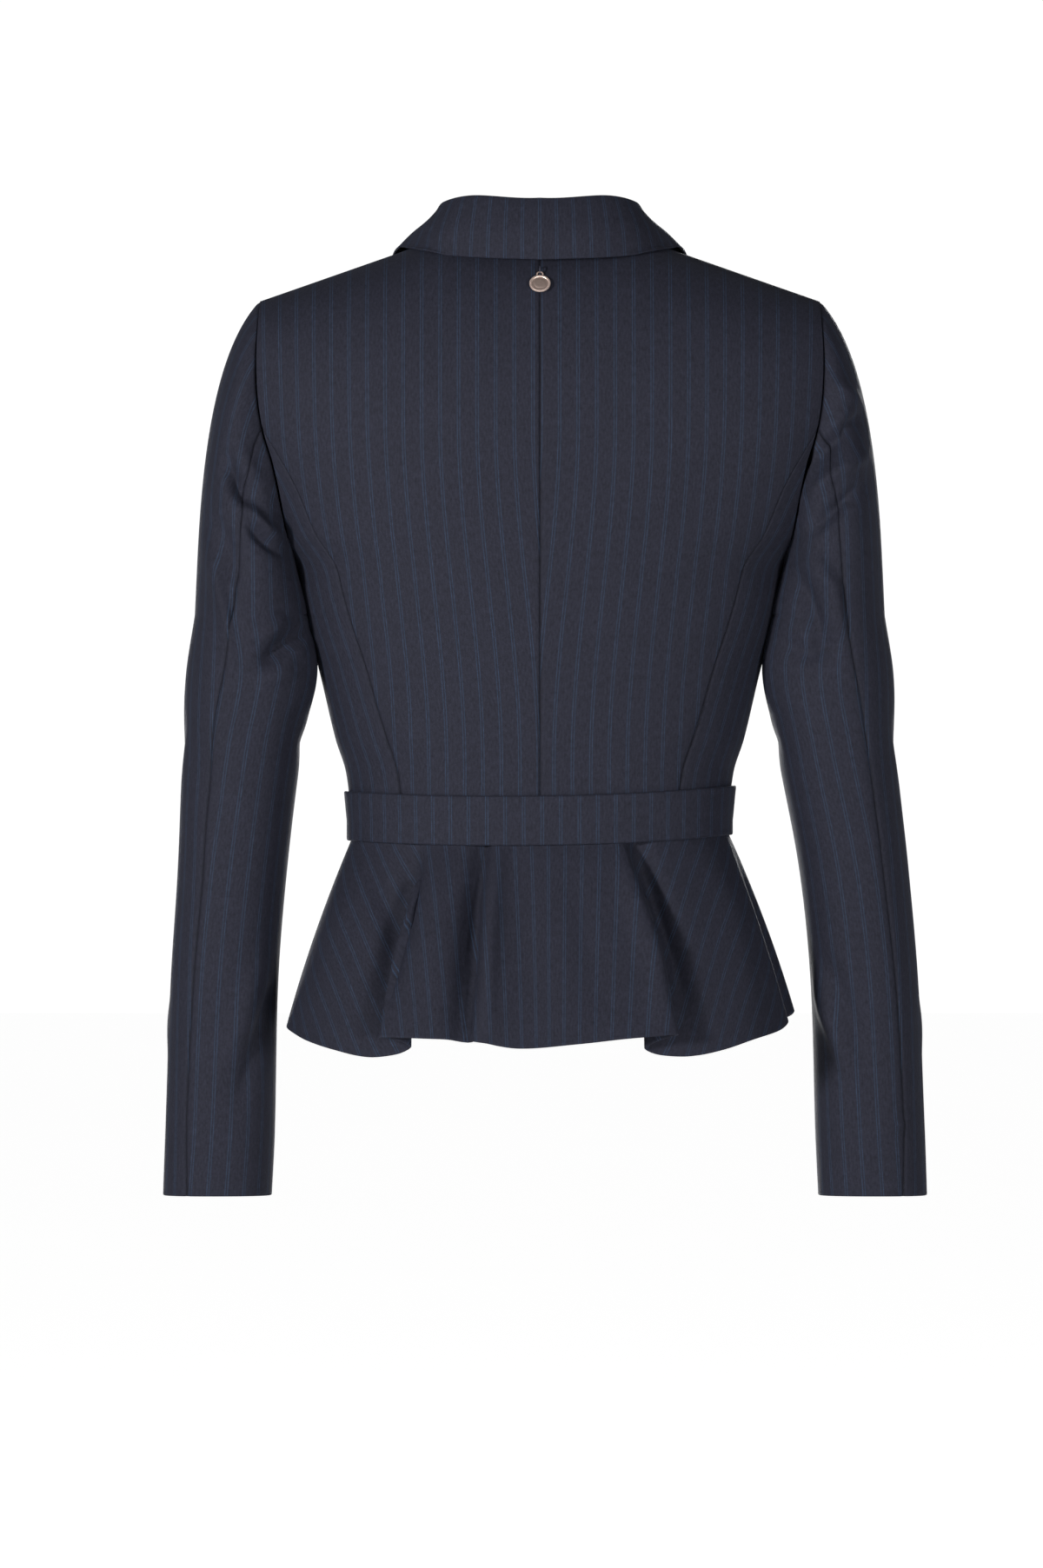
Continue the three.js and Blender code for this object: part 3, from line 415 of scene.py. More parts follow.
@dataclass(frozen=True)
class BodyForm:
    """The form on which the bodice stands.

    Angle 0 is the centre back, 90 the wearer's left and 180 the front.
    """

    squareness: float = 2.2
    torso: Table = Table(
        "z back_width front_width back front",
        (-391, 130, 130, 82, 104), (-357, 134, 134, 84, 108), (-335, 141, 141, 88, 114),
        (-287, 152.5, 152.5, 95, 127), (-256, 161.5, 161.5, 99, 134), (-235, 166, 166, 101.5, 136),
        (-215, 169, 169, 103, 134.5), (-195, 182, 174, 104, 132), (-170, 195, 182, 104.5, 127),
        (-145, 207, 191, 104.5, 120), (-125, 216, 198.5, 104, 114), (-100, 224, 205, 103, 107),
        (-70, 231, 209, 101, 99), (-33, 236, 212, 98.5, 91), (14, 240, 216, 96, 84),
    )
    closing_from: float = -130
    closing_back: float = 2.6
    closing_front: float = 1.9
    shoulders: Table = Table("x z", (0, 14), (40, 13), (68, 10.5), (100, -0.6), (193, -33), (240, -49))
    waist: float = -391
    waist_side_rise: float = 5
    waist_tilt: float = 2

    def waist_height(self, angle: Array) -> Array:
        """Height of the waist seam, which dips at the centre back and a little to the left."""
        side = np.sin(np.radians(angle))
        return self.waist + self.waist_side_rise * side * side - self.waist_tilt * side

    def shoulder_height(self, x: Array) -> Array:
        """Height of the shoulder line at a distance from the centre."""
        return self.shoulders.at(np.abs(x), "z")[0]

    def level(self, z: Array, behind: Array) -> tuple[Array, Array]:
        """Half width and depth of the form at a height, behind or in front."""
        back_width, front_width, back, front = self.torso.at(z, "back_width front_width back front")
        return np.where(behind, back_width, front_width), np.where(behind, back, front)

    def point(self, angle: Array, z: Array, closed: bool = True) -> Array:
        """Points of the form.

        Args:
            angle: degrees from the centre back.
            z: heights.
            closed: whether the form closes towards the shoulder line.

        Returns:
            Points, one for each angle and height.
        """
        turn, behind = np.radians(angle), np.abs(angle) <= 90
        width, depth = self.level(z, behind)
        x = width * rounded(np.sin(turn), self.squareness)
        y = depth * rounded(np.cos(turn), self.squareness)
        if closed:
            power = np.where(behind, self.closing_back, self.closing_front)
            share = inner(z, self.closing_from, self.shoulder_height(x))
            y = y * (1 - share**power) ** (1 / power)
        return np.stack([x, y, np.broadcast_to(z, x.shape)], axis=-1)

    def angle_at(self, x: Array, z: Array, behind: Array) -> Array:
        """The form's angle where it is seen at x and z from behind or in front."""
        width, _ = self.level(z, behind)
        turn = np.degrees(np.arcsin(np.minimum(1, np.abs(x) / width) ** (self.squareness / 2)))
        return np.where(behind, turn, 180 - turn)

    def girth(self, start: Array, end: Array, z: Array) -> Array:
        """Distance round the form at a height from one angle to another."""
        share = np.linspace(0, 1, GIRTH_STEPS)
        angle = start[..., None] + (end - start)[..., None] * share
        path = self.point(angle, np.broadcast_to(z[..., None], angle.shape), closed=False)
        return np.sign(end - start) * np.linalg.norm(np.diff(path, axis=-2), axis=-1).sum(axis=-1)

    def level_of(self, points: Array) -> Array:
        """Below zero inside the form and above zero outside."""
        x, y, z = points[..., 0], points[..., 1], points[..., 2]
        width, depth = self.level(z, y > 0)
        power = np.where(y > 0, self.closing_back, self.closing_front)
        share = np.maximum(0, 1 - (np.abs(x) / width) ** self.squareness)
        across = np.maximum(depth * share ** (1 / self.squareness), 1e-6)
        closed = np.maximum(0, (z - self.closing_from) / (self.shoulder_height(x) - self.closing_from))
        return (np.abs(y) / across) ** power + closed**power - 1

    def cleared(self, points: Array, clearance: float) -> Array:
        """The points, moved out where they lie nearer the form than the clearance."""
        step = 0.5
        for _ in range(3):
            slopes = []
            for axis in np.eye(3) * step:
                slopes.append((self.level_of(points + axis) - self.level_of(points - axis)) / (2 * step))
            gradient = np.stack(slopes, axis=-1)
            distance = self.level_of(points) / np.maximum(np.linalg.norm(gradient, axis=-1), 1e-9)
            move = np.maximum(0, clearance - distance)
            points = points + unit(gradient) * move[..., None]
        return points


BODY = BodyForm()


# Bodice.


@dataclass
class Bodice:
    """The six panels of the bodice, cut to the neckline, shoulders, armholes and waist."""

    finish: Material
    wool: float = 0.9
    bust: float = -235
    lower_share: float = 0.4
    drift: float = 2.2
    side_seam: float = 90
    front_edge: float = 179.75
    princess: Table = Table(
        "z angle", (-391, 44.5), (-349, 45.6), (-298, 49), (-235, 53), (-200, 56), (-161, 56), (-121, 60)
    )
    armhole_centre: float = -124
    armhole_rise: float = 91
    armhole_front_cut: float = 8
    armhole_width: Table = Table(
        "z x",
        (-215, 169), (-195, 174), (-170, 178.5), (-145, 184), (-125, 190), (-100, 194), (-70, 195),
        (-33, 193),
    )
    back_notch: float = 88
    neck_width: float = 68
    neck_back: float = -2
    neck_side: float = 10.5
    roll_line: Table = Table(
        "t x z",
        (0, 68, 10.5), (0.15, 67, -24), (0.32, 59, -80), (0.52, 44, -150), (0.76, 24, -235),
        (1, 1, -335),
    )
    back_corners: tuple[float, float] = (0.36, 0.7)
    front_corners: tuple[float, float] = (0.38, 0.56)
    dart_at: float = 0.5
    dart_taken: float = 34
    dart_top: float = -232
    centre_taken: float = 16.5
    centre_taken_from: float = -120
    centre_taken_to: float = -350
    first_stripe: dict[int, float] = field(default_factory=lambda: {1: 1.5, -1: 5.7})

    def armhole_edge(self, angle: Array) -> Edge:
        """Across, height and side of the armhole: angle 0 is its top, 90 its back and 180 its bottom."""
        turn = np.radians(angle)
        z = self.armhole_centre + self.armhole_rise * np.cos(turn)
        x = self.armhole_width.at(z, "x")[0] + self.armhole_front_cut * np.minimum(0, np.sin(turn))
        return x, z, angle <= 180

    def neckline_edge(self, share: Array) -> Edge:
        """Across, height and side of the neckline, from the centre back to the side of the neck."""
        turn = np.sin(np.radians(90 * np.clip(share, 0, 1)))
        return self.neck_width * turn, mix(self.neck_back, self.neck_side, turn**2), turn >= 0

    def shoulder_edge(self, share: Array, behind: bool) -> Edge:
        """Across, height and side of the shoulder seam, from the neck outwards."""
        tip = self.armhole_edge(np.array(0.0))[0]
        x = mix(self.neck_width, tip, np.clip(share, 0, 1))
        return x, BODY.shoulder_height(x), np.full(x.shape, behind)

    def roll_edge(self, t: Array) -> Edge:
        """Across, height and side of the line on which the lapel rolls."""
        x, z = self.roll_line.at(t, "x z")
        return x, z, np.zeros(x.shape, bool)

    def on_form(self, edge: Edge) -> Array:
        """Points of the form behind or in front of these places."""
        x, z, behind = edge
        return BODY.point(BODY.angle_at(x, z, behind), z)

    def back_top(self, s: Array) -> list[Array]:
        """Upper edge of the back: neckline, shoulder, then armhole."""
        neck, tip = self.back_corners
        parts = (
            self.neckline_edge(s / neck),
            self.shoulder_edge(inner(s, neck, tip), True),
            self.armhole_edge(self.back_notch * inner(s, tip, 1)),
        )
        return [np.select([s <= neck, s <= tip], part[:2], part[2]) for part in zip(*parts)]

    def side_top(self, s: Array) -> list[Array]:
        """Upper edge of the side back, on the armhole."""
        return list(self.armhole_edge(mix(self.back_notch, 180, s)))

    def front_top(self, s: Array) -> list[Array]:
        """Upper edge of the front: armhole, shoulder, then the roll line."""
        tip, neck = self.front_corners
        x, z, _ = self.armhole_edge(mix(180, 360, np.clip(s / tip, 0, 1)))
        parts = (
            (x, z, np.zeros(s.shape, bool)),
            self.shoulder_edge(1 - inner(s, tip, neck), False),
            self.roll_edge(inner(s, neck, 1)),
        )
        return [np.select([s <= tip, s <= neck], part[:2], part[2]) for part in zip(*parts)]

    def seam_angle(self, z: Array) -> Array:
        """Angle of the curved side-back seam at a height."""
        return self.princess.at(z, "angle")[0]

    def grid(self, span: tuple[Callable, Callable], top: Callable, s: Array, v: Array, hand: int) -> Array:
        """Points of a panel.

        Args:
            span: the angles of its two seams, each a function of the height.
            top: its upper edge, a function of s.
            s: shares of the way from seam to seam.
            v: shares of the way from the waist to the upper edge.
            hand: 1 on the wearer's left and -1 on the right.

        Returns:
            A grid of points, on the left side for either hand.
        """
        s, v = np.meshgrid(s, v)

        def angle(z: Array) -> Array:
            """The panel's own angle at a height."""
            return mix(span[0](z), span[1](z), s)

        top_x, top_z, behind = top(s)
        low = BODY.waist_height(hand * angle(np.full(s.shape, BODY.waist))) + 0.15
        joint = np.minimum(self.bust, mix(low, top_z, 0.5))
        upper = mix(joint, top_z, np.sin(np.pi / 2 * inner(v, self.lower_share, 1)))
        z = np.where(v <= self.lower_share, mix(low, joint, v / self.lower_share), upper)
        drift = BODY.angle_at(top_x, top_z, behind) - angle(top_z)
        return BODY.point(angle(z) + drift * inner(z, low, top_z) ** self.drift, z)

    def taken_in(self, z: Array) -> Array:
        """Width cut off at the centre-back seam, which gives its stripes their slant to the waist."""
        return self.centre_taken * eased(-z, -self.centre_taken_from, -self.centre_taken_to)

    def around(self, points: Array, start: Array) -> Array:
        """Distance round the form from a starting angle to each point, at its own height."""
        x, y, z = points[..., 0], points[..., 1], points[..., 2]
        return BODY.girth(start, BODY.angle_at(x, z, y > 0), z)

    def rows(self) -> Array:
        """Shares of a panel's height at which its rows lie."""
        return steps_through((0, self.lower_share, 1), (20, 34), (0.002, 0.006))

    def back(self, hand: int) -> Cloth:
        """A back panel, with the centre-back seam straight on the stripe as far as the waist's shaping."""
        s = steps_through((0, *self.back_corners, 1), (9, 9, 9), (0.005, 0.013))
        points = self.grid((lambda z: 0 * z, self.seam_angle), self.back_top, s, self.rows(), hand)
        across = self.around(points, np.zeros(points.shape[:2])) + self.taken_in(points[..., 2])
        flat = np.stack([across + self.first_stripe[hand], heights(points)], axis=-1)
        return Cloth(points, flat)

    def side_back(self, hand: int) -> Cloth:
        """A side-back panel, its stripes along the curved seam."""
        s = steps_through((0, 1), (14,), (0.01, 0.028))
        sides = (self.seam_angle, lambda z: 0 * z + self.side_seam)
        points = self.grid(sides, self.side_top, s, self.rows(), hand)
        across = self.around(points, self.seam_angle(points[..., 2]))
        return Cloth(points, np.stack([across + 8, heights(points)], axis=-1))

    def front(self, hand: int) -> Cloth:
        """A front panel with a dart from the waist to the bust."""
        tip, neck = self.front_corners
        s = steps_through((0, tip, self.dart_at, neck, 1), (12, 5, 3, 18), (0.004, 0.011))
        sides = (lambda z: 0 * z + self.side_seam, lambda z: 0 * z + self.front_edge)
        points = self.grid(sides, self.front_top, s, self.rows(), hand)
        across = self.around(points, np.full(points.shape[:2], 180.0))
        up = heights(points)
        taken = self.dart_taken * inner(points[..., 2], self.dart_top, BODY.waist)
        column = int(np.argmin(np.abs(s - self.dart_at)))
        taken = np.broadcast_to(taken[:, column : column + 1], across.shape)
        near_side = np.stack([across - taken, up], axis=-1)
        return Cloth(points, near_side, cut_column=column, flat_beyond=np.stack([across, up], axis=-1))

    def build(self) -> None:
        """Makes the six panels."""
        back_folds = seen_from(
            View.BACK,
            (((150, -118), (118, -150), (104, -196)), -1.0, 17),
            (((118, -300), (92, -338), (70, -352)), 0.9, 9, 0.2),
            (((62, -352), (34, -362), (10, -358)), -0.7, 8),
        )
        front_folds = seen_from(
            View.FRONT,
            (((166, -150), (140, -176), (112, -196)), 1.8, 13, 0.2),
            (((164, -186), (142, -206), (122, -214)), -1.4, 10),
            (((30, -330), (70, -348), (108, -338)), 1.3, 10),
            (((24, -352), (60, -366), (92, -364)), -1.0, 8),
        )
        makers = {
            "back": (self.back, back_folds, "start end top", Sheet(215, 461, "hung")),
            "side_back": (self.side_back, (), "start end top", Sheet(76, 289, "hung")),
            "front": (self.front, front_folds, "start top cut", Sheet(243, 451, "hung")),
        }
        for name, (make, folds, seams, sheet) in makers.items():
            for side, hand in (("left", 1), ("right", -1)):
                cloth = make(hand).folded(folds).sewn(seams)
                cloth = cloth if hand > 0 else cloth.mirrored()
                cloth_piece(f"{name}_{side}_cloth", cloth, f"{name}_{side}", self.wool, self.finish)


# Sleeves.


@dataclass
class Sleeves:
    """Two-piece sleeves: a cap set into the armhole, then a tube bent a little forward."""

    finish: Material
    bodice: Bodice
    wool: float = 0.9
    squareness: float = 2.3
    cuff: float = -650
    biceps: float = -250
    rings: Table = Table(
        "z left right width depth forward",
        (-650, 223.4, 230.8, 75.5, 84, -40), (-608, 221.5, 229, 76, 88, -35),
        (-501, 218, 224.5, 74.5, 98, -20), (-424, 212.3, 217, 75.7, 104, -11),
        (-341, 205.5, 204.7, 82.5, 112, -4), (-290, 200, 200, 88.5, 116, -2),
        (-250, 201.2, 201.2, 74, 124, -1),
    )
    cap_share: float = 0.42
    cap_pull: float = 0.8
    leave_inner: float = 0.12
    leave_outer: float = 0.68
    leave_back: float = 0.35
    leave_fall: float = 0.72
    leave_drop: float = 0.28
    seam_off: float = 0.3
    back_seam: Table = Table(
        "z angle", (-650, 60), (-595, 56), (-440, 62), (-330, 64), (-237, 80), (-120, 90)
    )
    front_seam: float = -118
    armhole_depth: float = 56
    clear_back: float = 1.2
    clear_front: float = 2
    hem: float = 34

    def ring(self, side: str, turn: Array, z: Array) -> Array:
        """Points of the tube: turn 0 is outside, 90 behind."""
        centre, width, depth, forward = self.rings.at(z, f"{side} width depth forward")
        around = np.radians(turn)
        x = centre + width / 2 * rounded(np.cos(around), self.squareness)
        y = forward + depth / 2 * rounded(np.sin(around), self.squareness)
        return np.stack([x, y, z], axis=-1)

    def cap(self, side: str, turn: Array, t: Array) -> Array:
        """Points of the cap, from the armhole at t 0 to the first ring at t 1."""
        x, z, behind = self.bodice.armhole_edge((turn + 360) % 360)
        start = self.bodice.on_form((x, z, behind))
        start[..., 0] += self.seam_off
        end = self.ring(side, turn, np.full(turn.shape, float(self.biceps)))
        span = np.linalg.norm(end - start, axis=-1, keepdims=True) * self.cap_pull
        around = np.radians(turn)
        outside = (1 + np.cos(around)) / 2
        leave = unit(np.stack([
            mix(self.leave_inner, self.leave_outer, outside),
            self.leave_back * np.sin(around),
            -self.leave_fall - self.leave_drop * (1 - outside),
        ], axis=-1)) * span
        arrive = unit(np.stack([0.05 * outside, 0 * outside, -np.ones(turn.shape)], axis=-1)) * span
        return hermite(start, leave, end, arrive, t[..., None])

    def cleared(self, points: Array) -> Array:
        """The points, kept off the bodice below the armhole."""
        x, y, z = points[..., 0], points[..., 1], points[..., 2]
        width, depth = BODY.level(z, y > 0)
        across = np.abs(y) / self.armhole_depth
        edge = self.bodice.armhole_centre - self.bodice.armhole_rise * np.sqrt(np.maximum(0, 1 - across**2))
        low = z <= np.where(across < 1, edge, self.bodice.bust)
        square = BODY.squareness
        reach = width * np.maximum(0, 1 - (np.abs(y) / depth) ** square) ** (1 / square)
        clear = reach + np.where(y > 0, self.clear_back, self.clear_front)
        points = points.copy()
        points[..., 0] = np.where(low, np.maximum(x, clear), x)
        return points

    def piece(self, side: str, under: bool) -> Cloth:
        """The upper or the under sleeve, on the left side.

        Args:
            side: left or right, which hang a little differently.
            under: whether it is the under sleeve.

        Returns:
            The piece's cloth, rows from the cuff up.
        """
        tip = self.front_seam / (self.front_seam - 90)
        near = (0.008, 0.022)
        s = steps_through((0, 1), (22,), near) if under else steps_through((0, tip, 1), (20, 15), near)
        s, v = np.meshgrid(s, steps_through((0, self.cap_share, 1), (36, 64), (0.0025, 0.007))[::-1])
        t = np.clip(v / self.cap_share, 0, 1)
        capped = v < self.cap_share
        tube = mix(self.biceps, self.cuff, inner(v, self.cap_share, 1))
        z = np.where(capped, mix(self.bodice.armhole_centre, self.biceps, t), tube)
        back = self.back_seam.at(z, "angle")[0]
        turn = mix(back, self.front_seam + 360, s) if under else mix(self.front_seam, back, s)
        points = np.where(capped[..., None], self.cap(side, turn, t), self.ring(side, turn, tube))
        points = np.where((v > 0)[..., None], self.cleared(points), points)
        middle = 165.0 if under else 0.0
        across = self.girth(side, middle, turn, np.where(capped, self.biceps, z))
        flat = np.stack([across, heights(points)], axis=-1)
        return Cloth(points[:, ::-1], flat[:, ::-1])

    def girth(self, side: str, start: float, turn: Array, z: Array) -> Array:
        """Distance round the tube from a starting turn."""
        around = start + (turn - start)[..., None] * np.linspace(0, 1, GIRTH_STEPS)
        path = self.ring(side, around, np.broadcast_to(z[..., None], around.shape))
        return -np.sign(turn - start) * np.linalg.norm(np.diff(path, axis=-2), axis=-1).sum(axis=-1)

    def folds(self, side: str) -> tuple[Fold, ...]:
        """The folds of one sleeve, across and up as on the wearer's left."""
        if side == "left":
            behind = seen_from(
                View.BACK,
                (((216, -138), (214, -152), (208, -164), (200, -172), (190, -174)), -10.0, 6.5, 0.35),
                (((206, -134), (200, -150), (194, -160)), 3.4, 6),
                (((199, -170), (197, -180), (190, -189), (176, -201)), 7.0, 4.8, -0.2),
                (((200, -184), (194, -196), (178, -208)), -7.0, 4.5, 0.3),
                (((227, -202), (222, -218), (217, -236), (212, -260), (210, -292)), 4.4, 4.4, -0.5),
                (((224, -180), (216, -204), (208, -232)), -6.4, 7.5, 0.2),
                (((192, -286), (182, -278), (172, -268), (164, -262)), -10.0, 5.0, 0.3),
                (((206, -262), (190, -262), (174, -252)), 4.6, 8),
                (((196, -300), (182, -292), (168, -284)), 3.0, 7),
                (((180, -496), (192, -534), (210, -590)), -4.4, 6.5, 0.3),
                (((188, -474), (205, -530), (224, -578)), 3.2, 7),
                (((238, -330), (226, -372), (214, -398)), -2.4, 11),
            )
        else:
            behind = seen_from(
                View.BACK,
                (((198, -88), (212, -98), (224, -106)), 3.4, 5),
                (((182, -148), (200, -130), (224, -112)), -8.0, 6, 0.3),
                (((182, -170), (204, -152), (228, -136)), 6.0, 6),
                (((184, -194), (206, -174), (224, -160)), -7.4, 5.5),
                (((184, -204), (202, -230), (208, -270)), 5.6, 6, 0.4),
                (((174, -216), (186, -244), (196, -282)), -6.4, 6),
                (((166, -268), (184, -277), (206, -268)), -5.0, 6),
                (((186, -488), (198, -526), (214, -572)), 4.6, 6.5, -0.3),
                (((196, -482), (212, -524), (228, -566)), -4.0, 6.5),
                (((222, -608), (240, -604), (258, -598)), 1.8, 5),
            )
        hidden = (
            *seen_from(
                View.FRONT,
                (((176, -190), (196, -206), (222, -200)), -3.2, 10, 0.2),
                (((180, -300), (200, -316), (224, -308)), -3.6, 11),
                (((178, -322), (196, -342), (220, -346)), 3.0, 9, -0.2),
                (((184, -352), (204, -366), (226, -360)), -2.8, 10),
                (((186, -516), (206, -544), (222, -586)), 2.2, 9),
            ),
            *seen_from(
                View.LEFT,
                (((-40, -150), (-22, -188), (-10, -236)), -1.6, 13),
                (((20, -316), (-8, -346), (-34, -352)), -1.8, 12),
                (((-58, -480), (-40, -520), (-14, -548)), 1.6, 11),
            ),
            *seen_from(
                View.RIGHT,
                (((-30, -326), (-4, -340), (24, -334)), -2.0, 10),
                (((28, -196), (28, -256), (24, -322)), 6.5, 20),
            ),
        )
        return behind + hidden

    def build(self) -> None:
        """Makes the four sleeve pieces."""
        for side in ("left", "right"):
            for name, under in (("upper", False), ("under", True)):
                cloth = self.piece(side, under).folded(self.folds(side)).sewn("start end top")
                cloth = cloth.hemmed(self.hem)
                cloth = cloth if side == "left" else cloth.mirrored()
                label = f"{name}_sleeve_{side}"
                cloth_piece(f"{label}_cloth", cloth, label, self.wool, self.finish)


# Collar and lapels.


@dataclass
class Collar:
    """A collar with a stand, rolled over and falling on the back, and the lapels that go on from it."""

    finish: Material
    bodice: Bodice
    wool: float = 1.5
    shape: Table = Table(
        "t roll_out roll_rise x y z",
        (0, 4.5, 38, 0, 76.5, -7), (0.25, 4.5, 35.5, 47, 68, -5), (0.45, 3.5, 26, 81, 42, -1),
        (0.6, 1, 18.5, 98, 4, 4.5), (0.8, 2.5, 14, 104, -38, -12), (1, 3, 5.5, 101, -84, -58),
    )
    side_neck: float = 0.6
    end_on_roll_line: float = 0.2
    wall: float = 1.6
    lift_back: float = 0.8
    lift_front: float = 1.3
    half_gap: float = 3.2
    roll_shoulder: float = 4
    bulge: float = 2.5
    clearance: float = 2.4
    stand_share: float = 0.5
    stripe_ease: float = 1.08
    lapel: Table = Table(
        "t width x z",
        (0, 2.5, 0.98, -0.2), (0.25, 22, 0.98, -0.2), (0.55, 46, 0.96, -0.28),
        (0.85, 61, 0.87, -0.48), (1, 64, 0.8, -0.6),
    )
    lapel_from: float = 0.985
    lapel_to: float = 0.225
    lapel_inset: float = 1.5
    lapel_lift: float = 3
    lapel_roll: float = 3

    def seam(self, t: Array) -> Array:
        """The seam that joins the collar to the neckline and the top of the roll line."""
        on_roll = self.end_on_roll_line * inner(t, self.side_neck, 1)
        around = self.bodice.on_form(self.bodice.neckline_edge(t / self.side_neck))
        along = self.bodice.on_form(self.bodice.roll_edge(on_roll))
        return np.where((t <= self.side_neck)[:, None], around, along)

    def sections(self, t: Array) -> Array:
        """Control points of the collar's cross-sections, from the seam over the roll to the edge.

        Args:
            t: shares of the way from the centre back to the collar's end, negative on the right.

        Returns:
            Six points for each t, all on the left side.
        """
        t = np.abs(t)
        out, rise, x, y, z = self.shape.at(t, "roll_out roll_rise x y z")
        neck, edge = self.seam(t), np.stack([x, y, z], axis=-1)
        level = np.array([1.0, 1.0, 0.0])
        away = unit((edge - neck) * level)
        up = np.array([0.0, 0.0, 1.0])
        roll = neck + away * out[:, None] + up * rise[:, None]
        lift = mix(self.lift_back, self.lift_front, inner(t, self.side_neck, 0.7))
        inside = neck - away * self.wall + up * lift[:, None]
        drop = up * np.minimum(self.roll_shoulder, rise / 3)[:, None]
        before, after = roll - away * self.half_gap - drop, roll + away * self.half_gap - drop
        middle = (after + edge) / 2 + away * self.bulge
        return np.stack([inside, before, roll, after, middle, edge])

    def curve(self, controls: Array, c: float) -> Array:
        """Points of the curves through each section's controls, at a share c of their spans."""
        last = len(controls) - 1
        i = min(int(c * last), last - 1)
        w = c * last - i
        p1, p2 = controls[i], controls[i + 1]
        p0 = controls[i - 1] if i else 2 * p1 - p2
        p3 = controls[i + 2] if i + 2 <= last else 2 * p2 - p1
        spans = ((p0, p1), (p1, p2), (p2, p3))
        d0, d1, d2 = (np.sqrt(np.linalg.norm(b - a, axis=1, keepdims=True)) for a, b in spans)
        slope1 = ((p1 - p0) / d0 - (p2 - p0) / (d0 + d1) + (p2 - p1) / d1) * d1
        slope2 = ((p2 - p1) / d1 - (p3 - p1) / (d1 + d2) + (p3 - p2) / d2) * d1
        return hermite(p1, slope1, p2, slope2, w)

    def collar(self) -> Cloth:
        """The collar's cloth, rows from the fall's edge over the roll to the seam."""
        t = steps_through((-1, -self.side_neck, 0, self.side_neck, 1), (16, 24, 24, 16), (0.004, 0.012))
        controls = self.sections(t)
        rows = steps_through((0, 0.2, 0.6, 1), (5, 14, 12), (0.01, 0.03))
        points = []
        for c in rows[::-1]:
            row = self.curve(controls, float(c))
            row = BODY.cleared(row, self.clearance) if c > self.stand_share else row
            points.append(row * np.stack([np.sign(t) + (t == 0), 0 * t + 1, 0 * t + 1], axis=-1))
        grid = np.array(points)
        guide = lengths_along(grid)[len(rows) // 4] * self.stripe_ease
        guide = guide - np.interp(0, t, guide) + 6.1
        across = np.broadcast_to(guide, grid.shape[:2])
        return Cloth(grid, np.stack([across, heights(grid)], axis=-1))

    def front_at(self, x: Array, z: Array) -> tuple[Array, Array]:
        """Points of the front and the way out there."""
        step = 2.0
        behind = np.zeros(x.shape, bool)

        def at(dx: float, dz: float) -> Array:
            """The form at a small step away."""
            return self.bodice.on_form((x + dx, z + dz, behind))

        return at(0, 0), unit(np.cross(at(step, 0) - at(-step, 0), at(0, step) - at(0, -step)))

    def lapel_cloth(self) -> Cloth:
        """A lapel's cloth, on the left side, rows from the button up to the notch."""
        near = (0.008, 0.025)
        w, t = np.meshgrid(steps_through((0, 1), (14,), near), steps_through((0, 1), (52,), (0.003, 0.009)))
        x, z, _ = self.bodice.roll_edge(mix(self.lapel_from, self.lapel_to, t))
        width, right, up = self.lapel.at(t, "width x z")
        out = self.lapel_inset + w * width
        points, normals = self.front_at(x + out * right, z + out * up)
        curl = np.sin(np.pi * np.minimum(1, w * 1.1)) * np.minimum(1, t * 3)
        points = points + normals * (self.lapel_lift + self.lapel_roll * curl)[..., None]
        flat = np.stack([-w * width, heights(points)], axis=-1)
        return Cloth(points[:, ::-1], flat[:, ::-1])

    def build(self) -> None:
        """Makes the collar and the two lapels."""
        folds = seen_from(
            View.BACK,
            (((58, 27), (66, 12), (70, 0)), 1.0, 8),
            (((-58, 27), (-65, 12), (-71, -1)), 0.8, 9),
        )
        collar = self.collar().folded(folds).turned("start end bottom")
        cloth_piece("collar_cloth", collar, "collar", self.wool, self.finish)
        for side in ("left", "right"):
            lapel = self.lapel_cloth().turned("start bottom top")
            lapel = lapel if side == "left" else lapel.mirrored()
            cloth_piece(f"lapel_{side}_cloth", lapel, f"lapel_{side}", self.wool, self.finish)


# Belt and button.


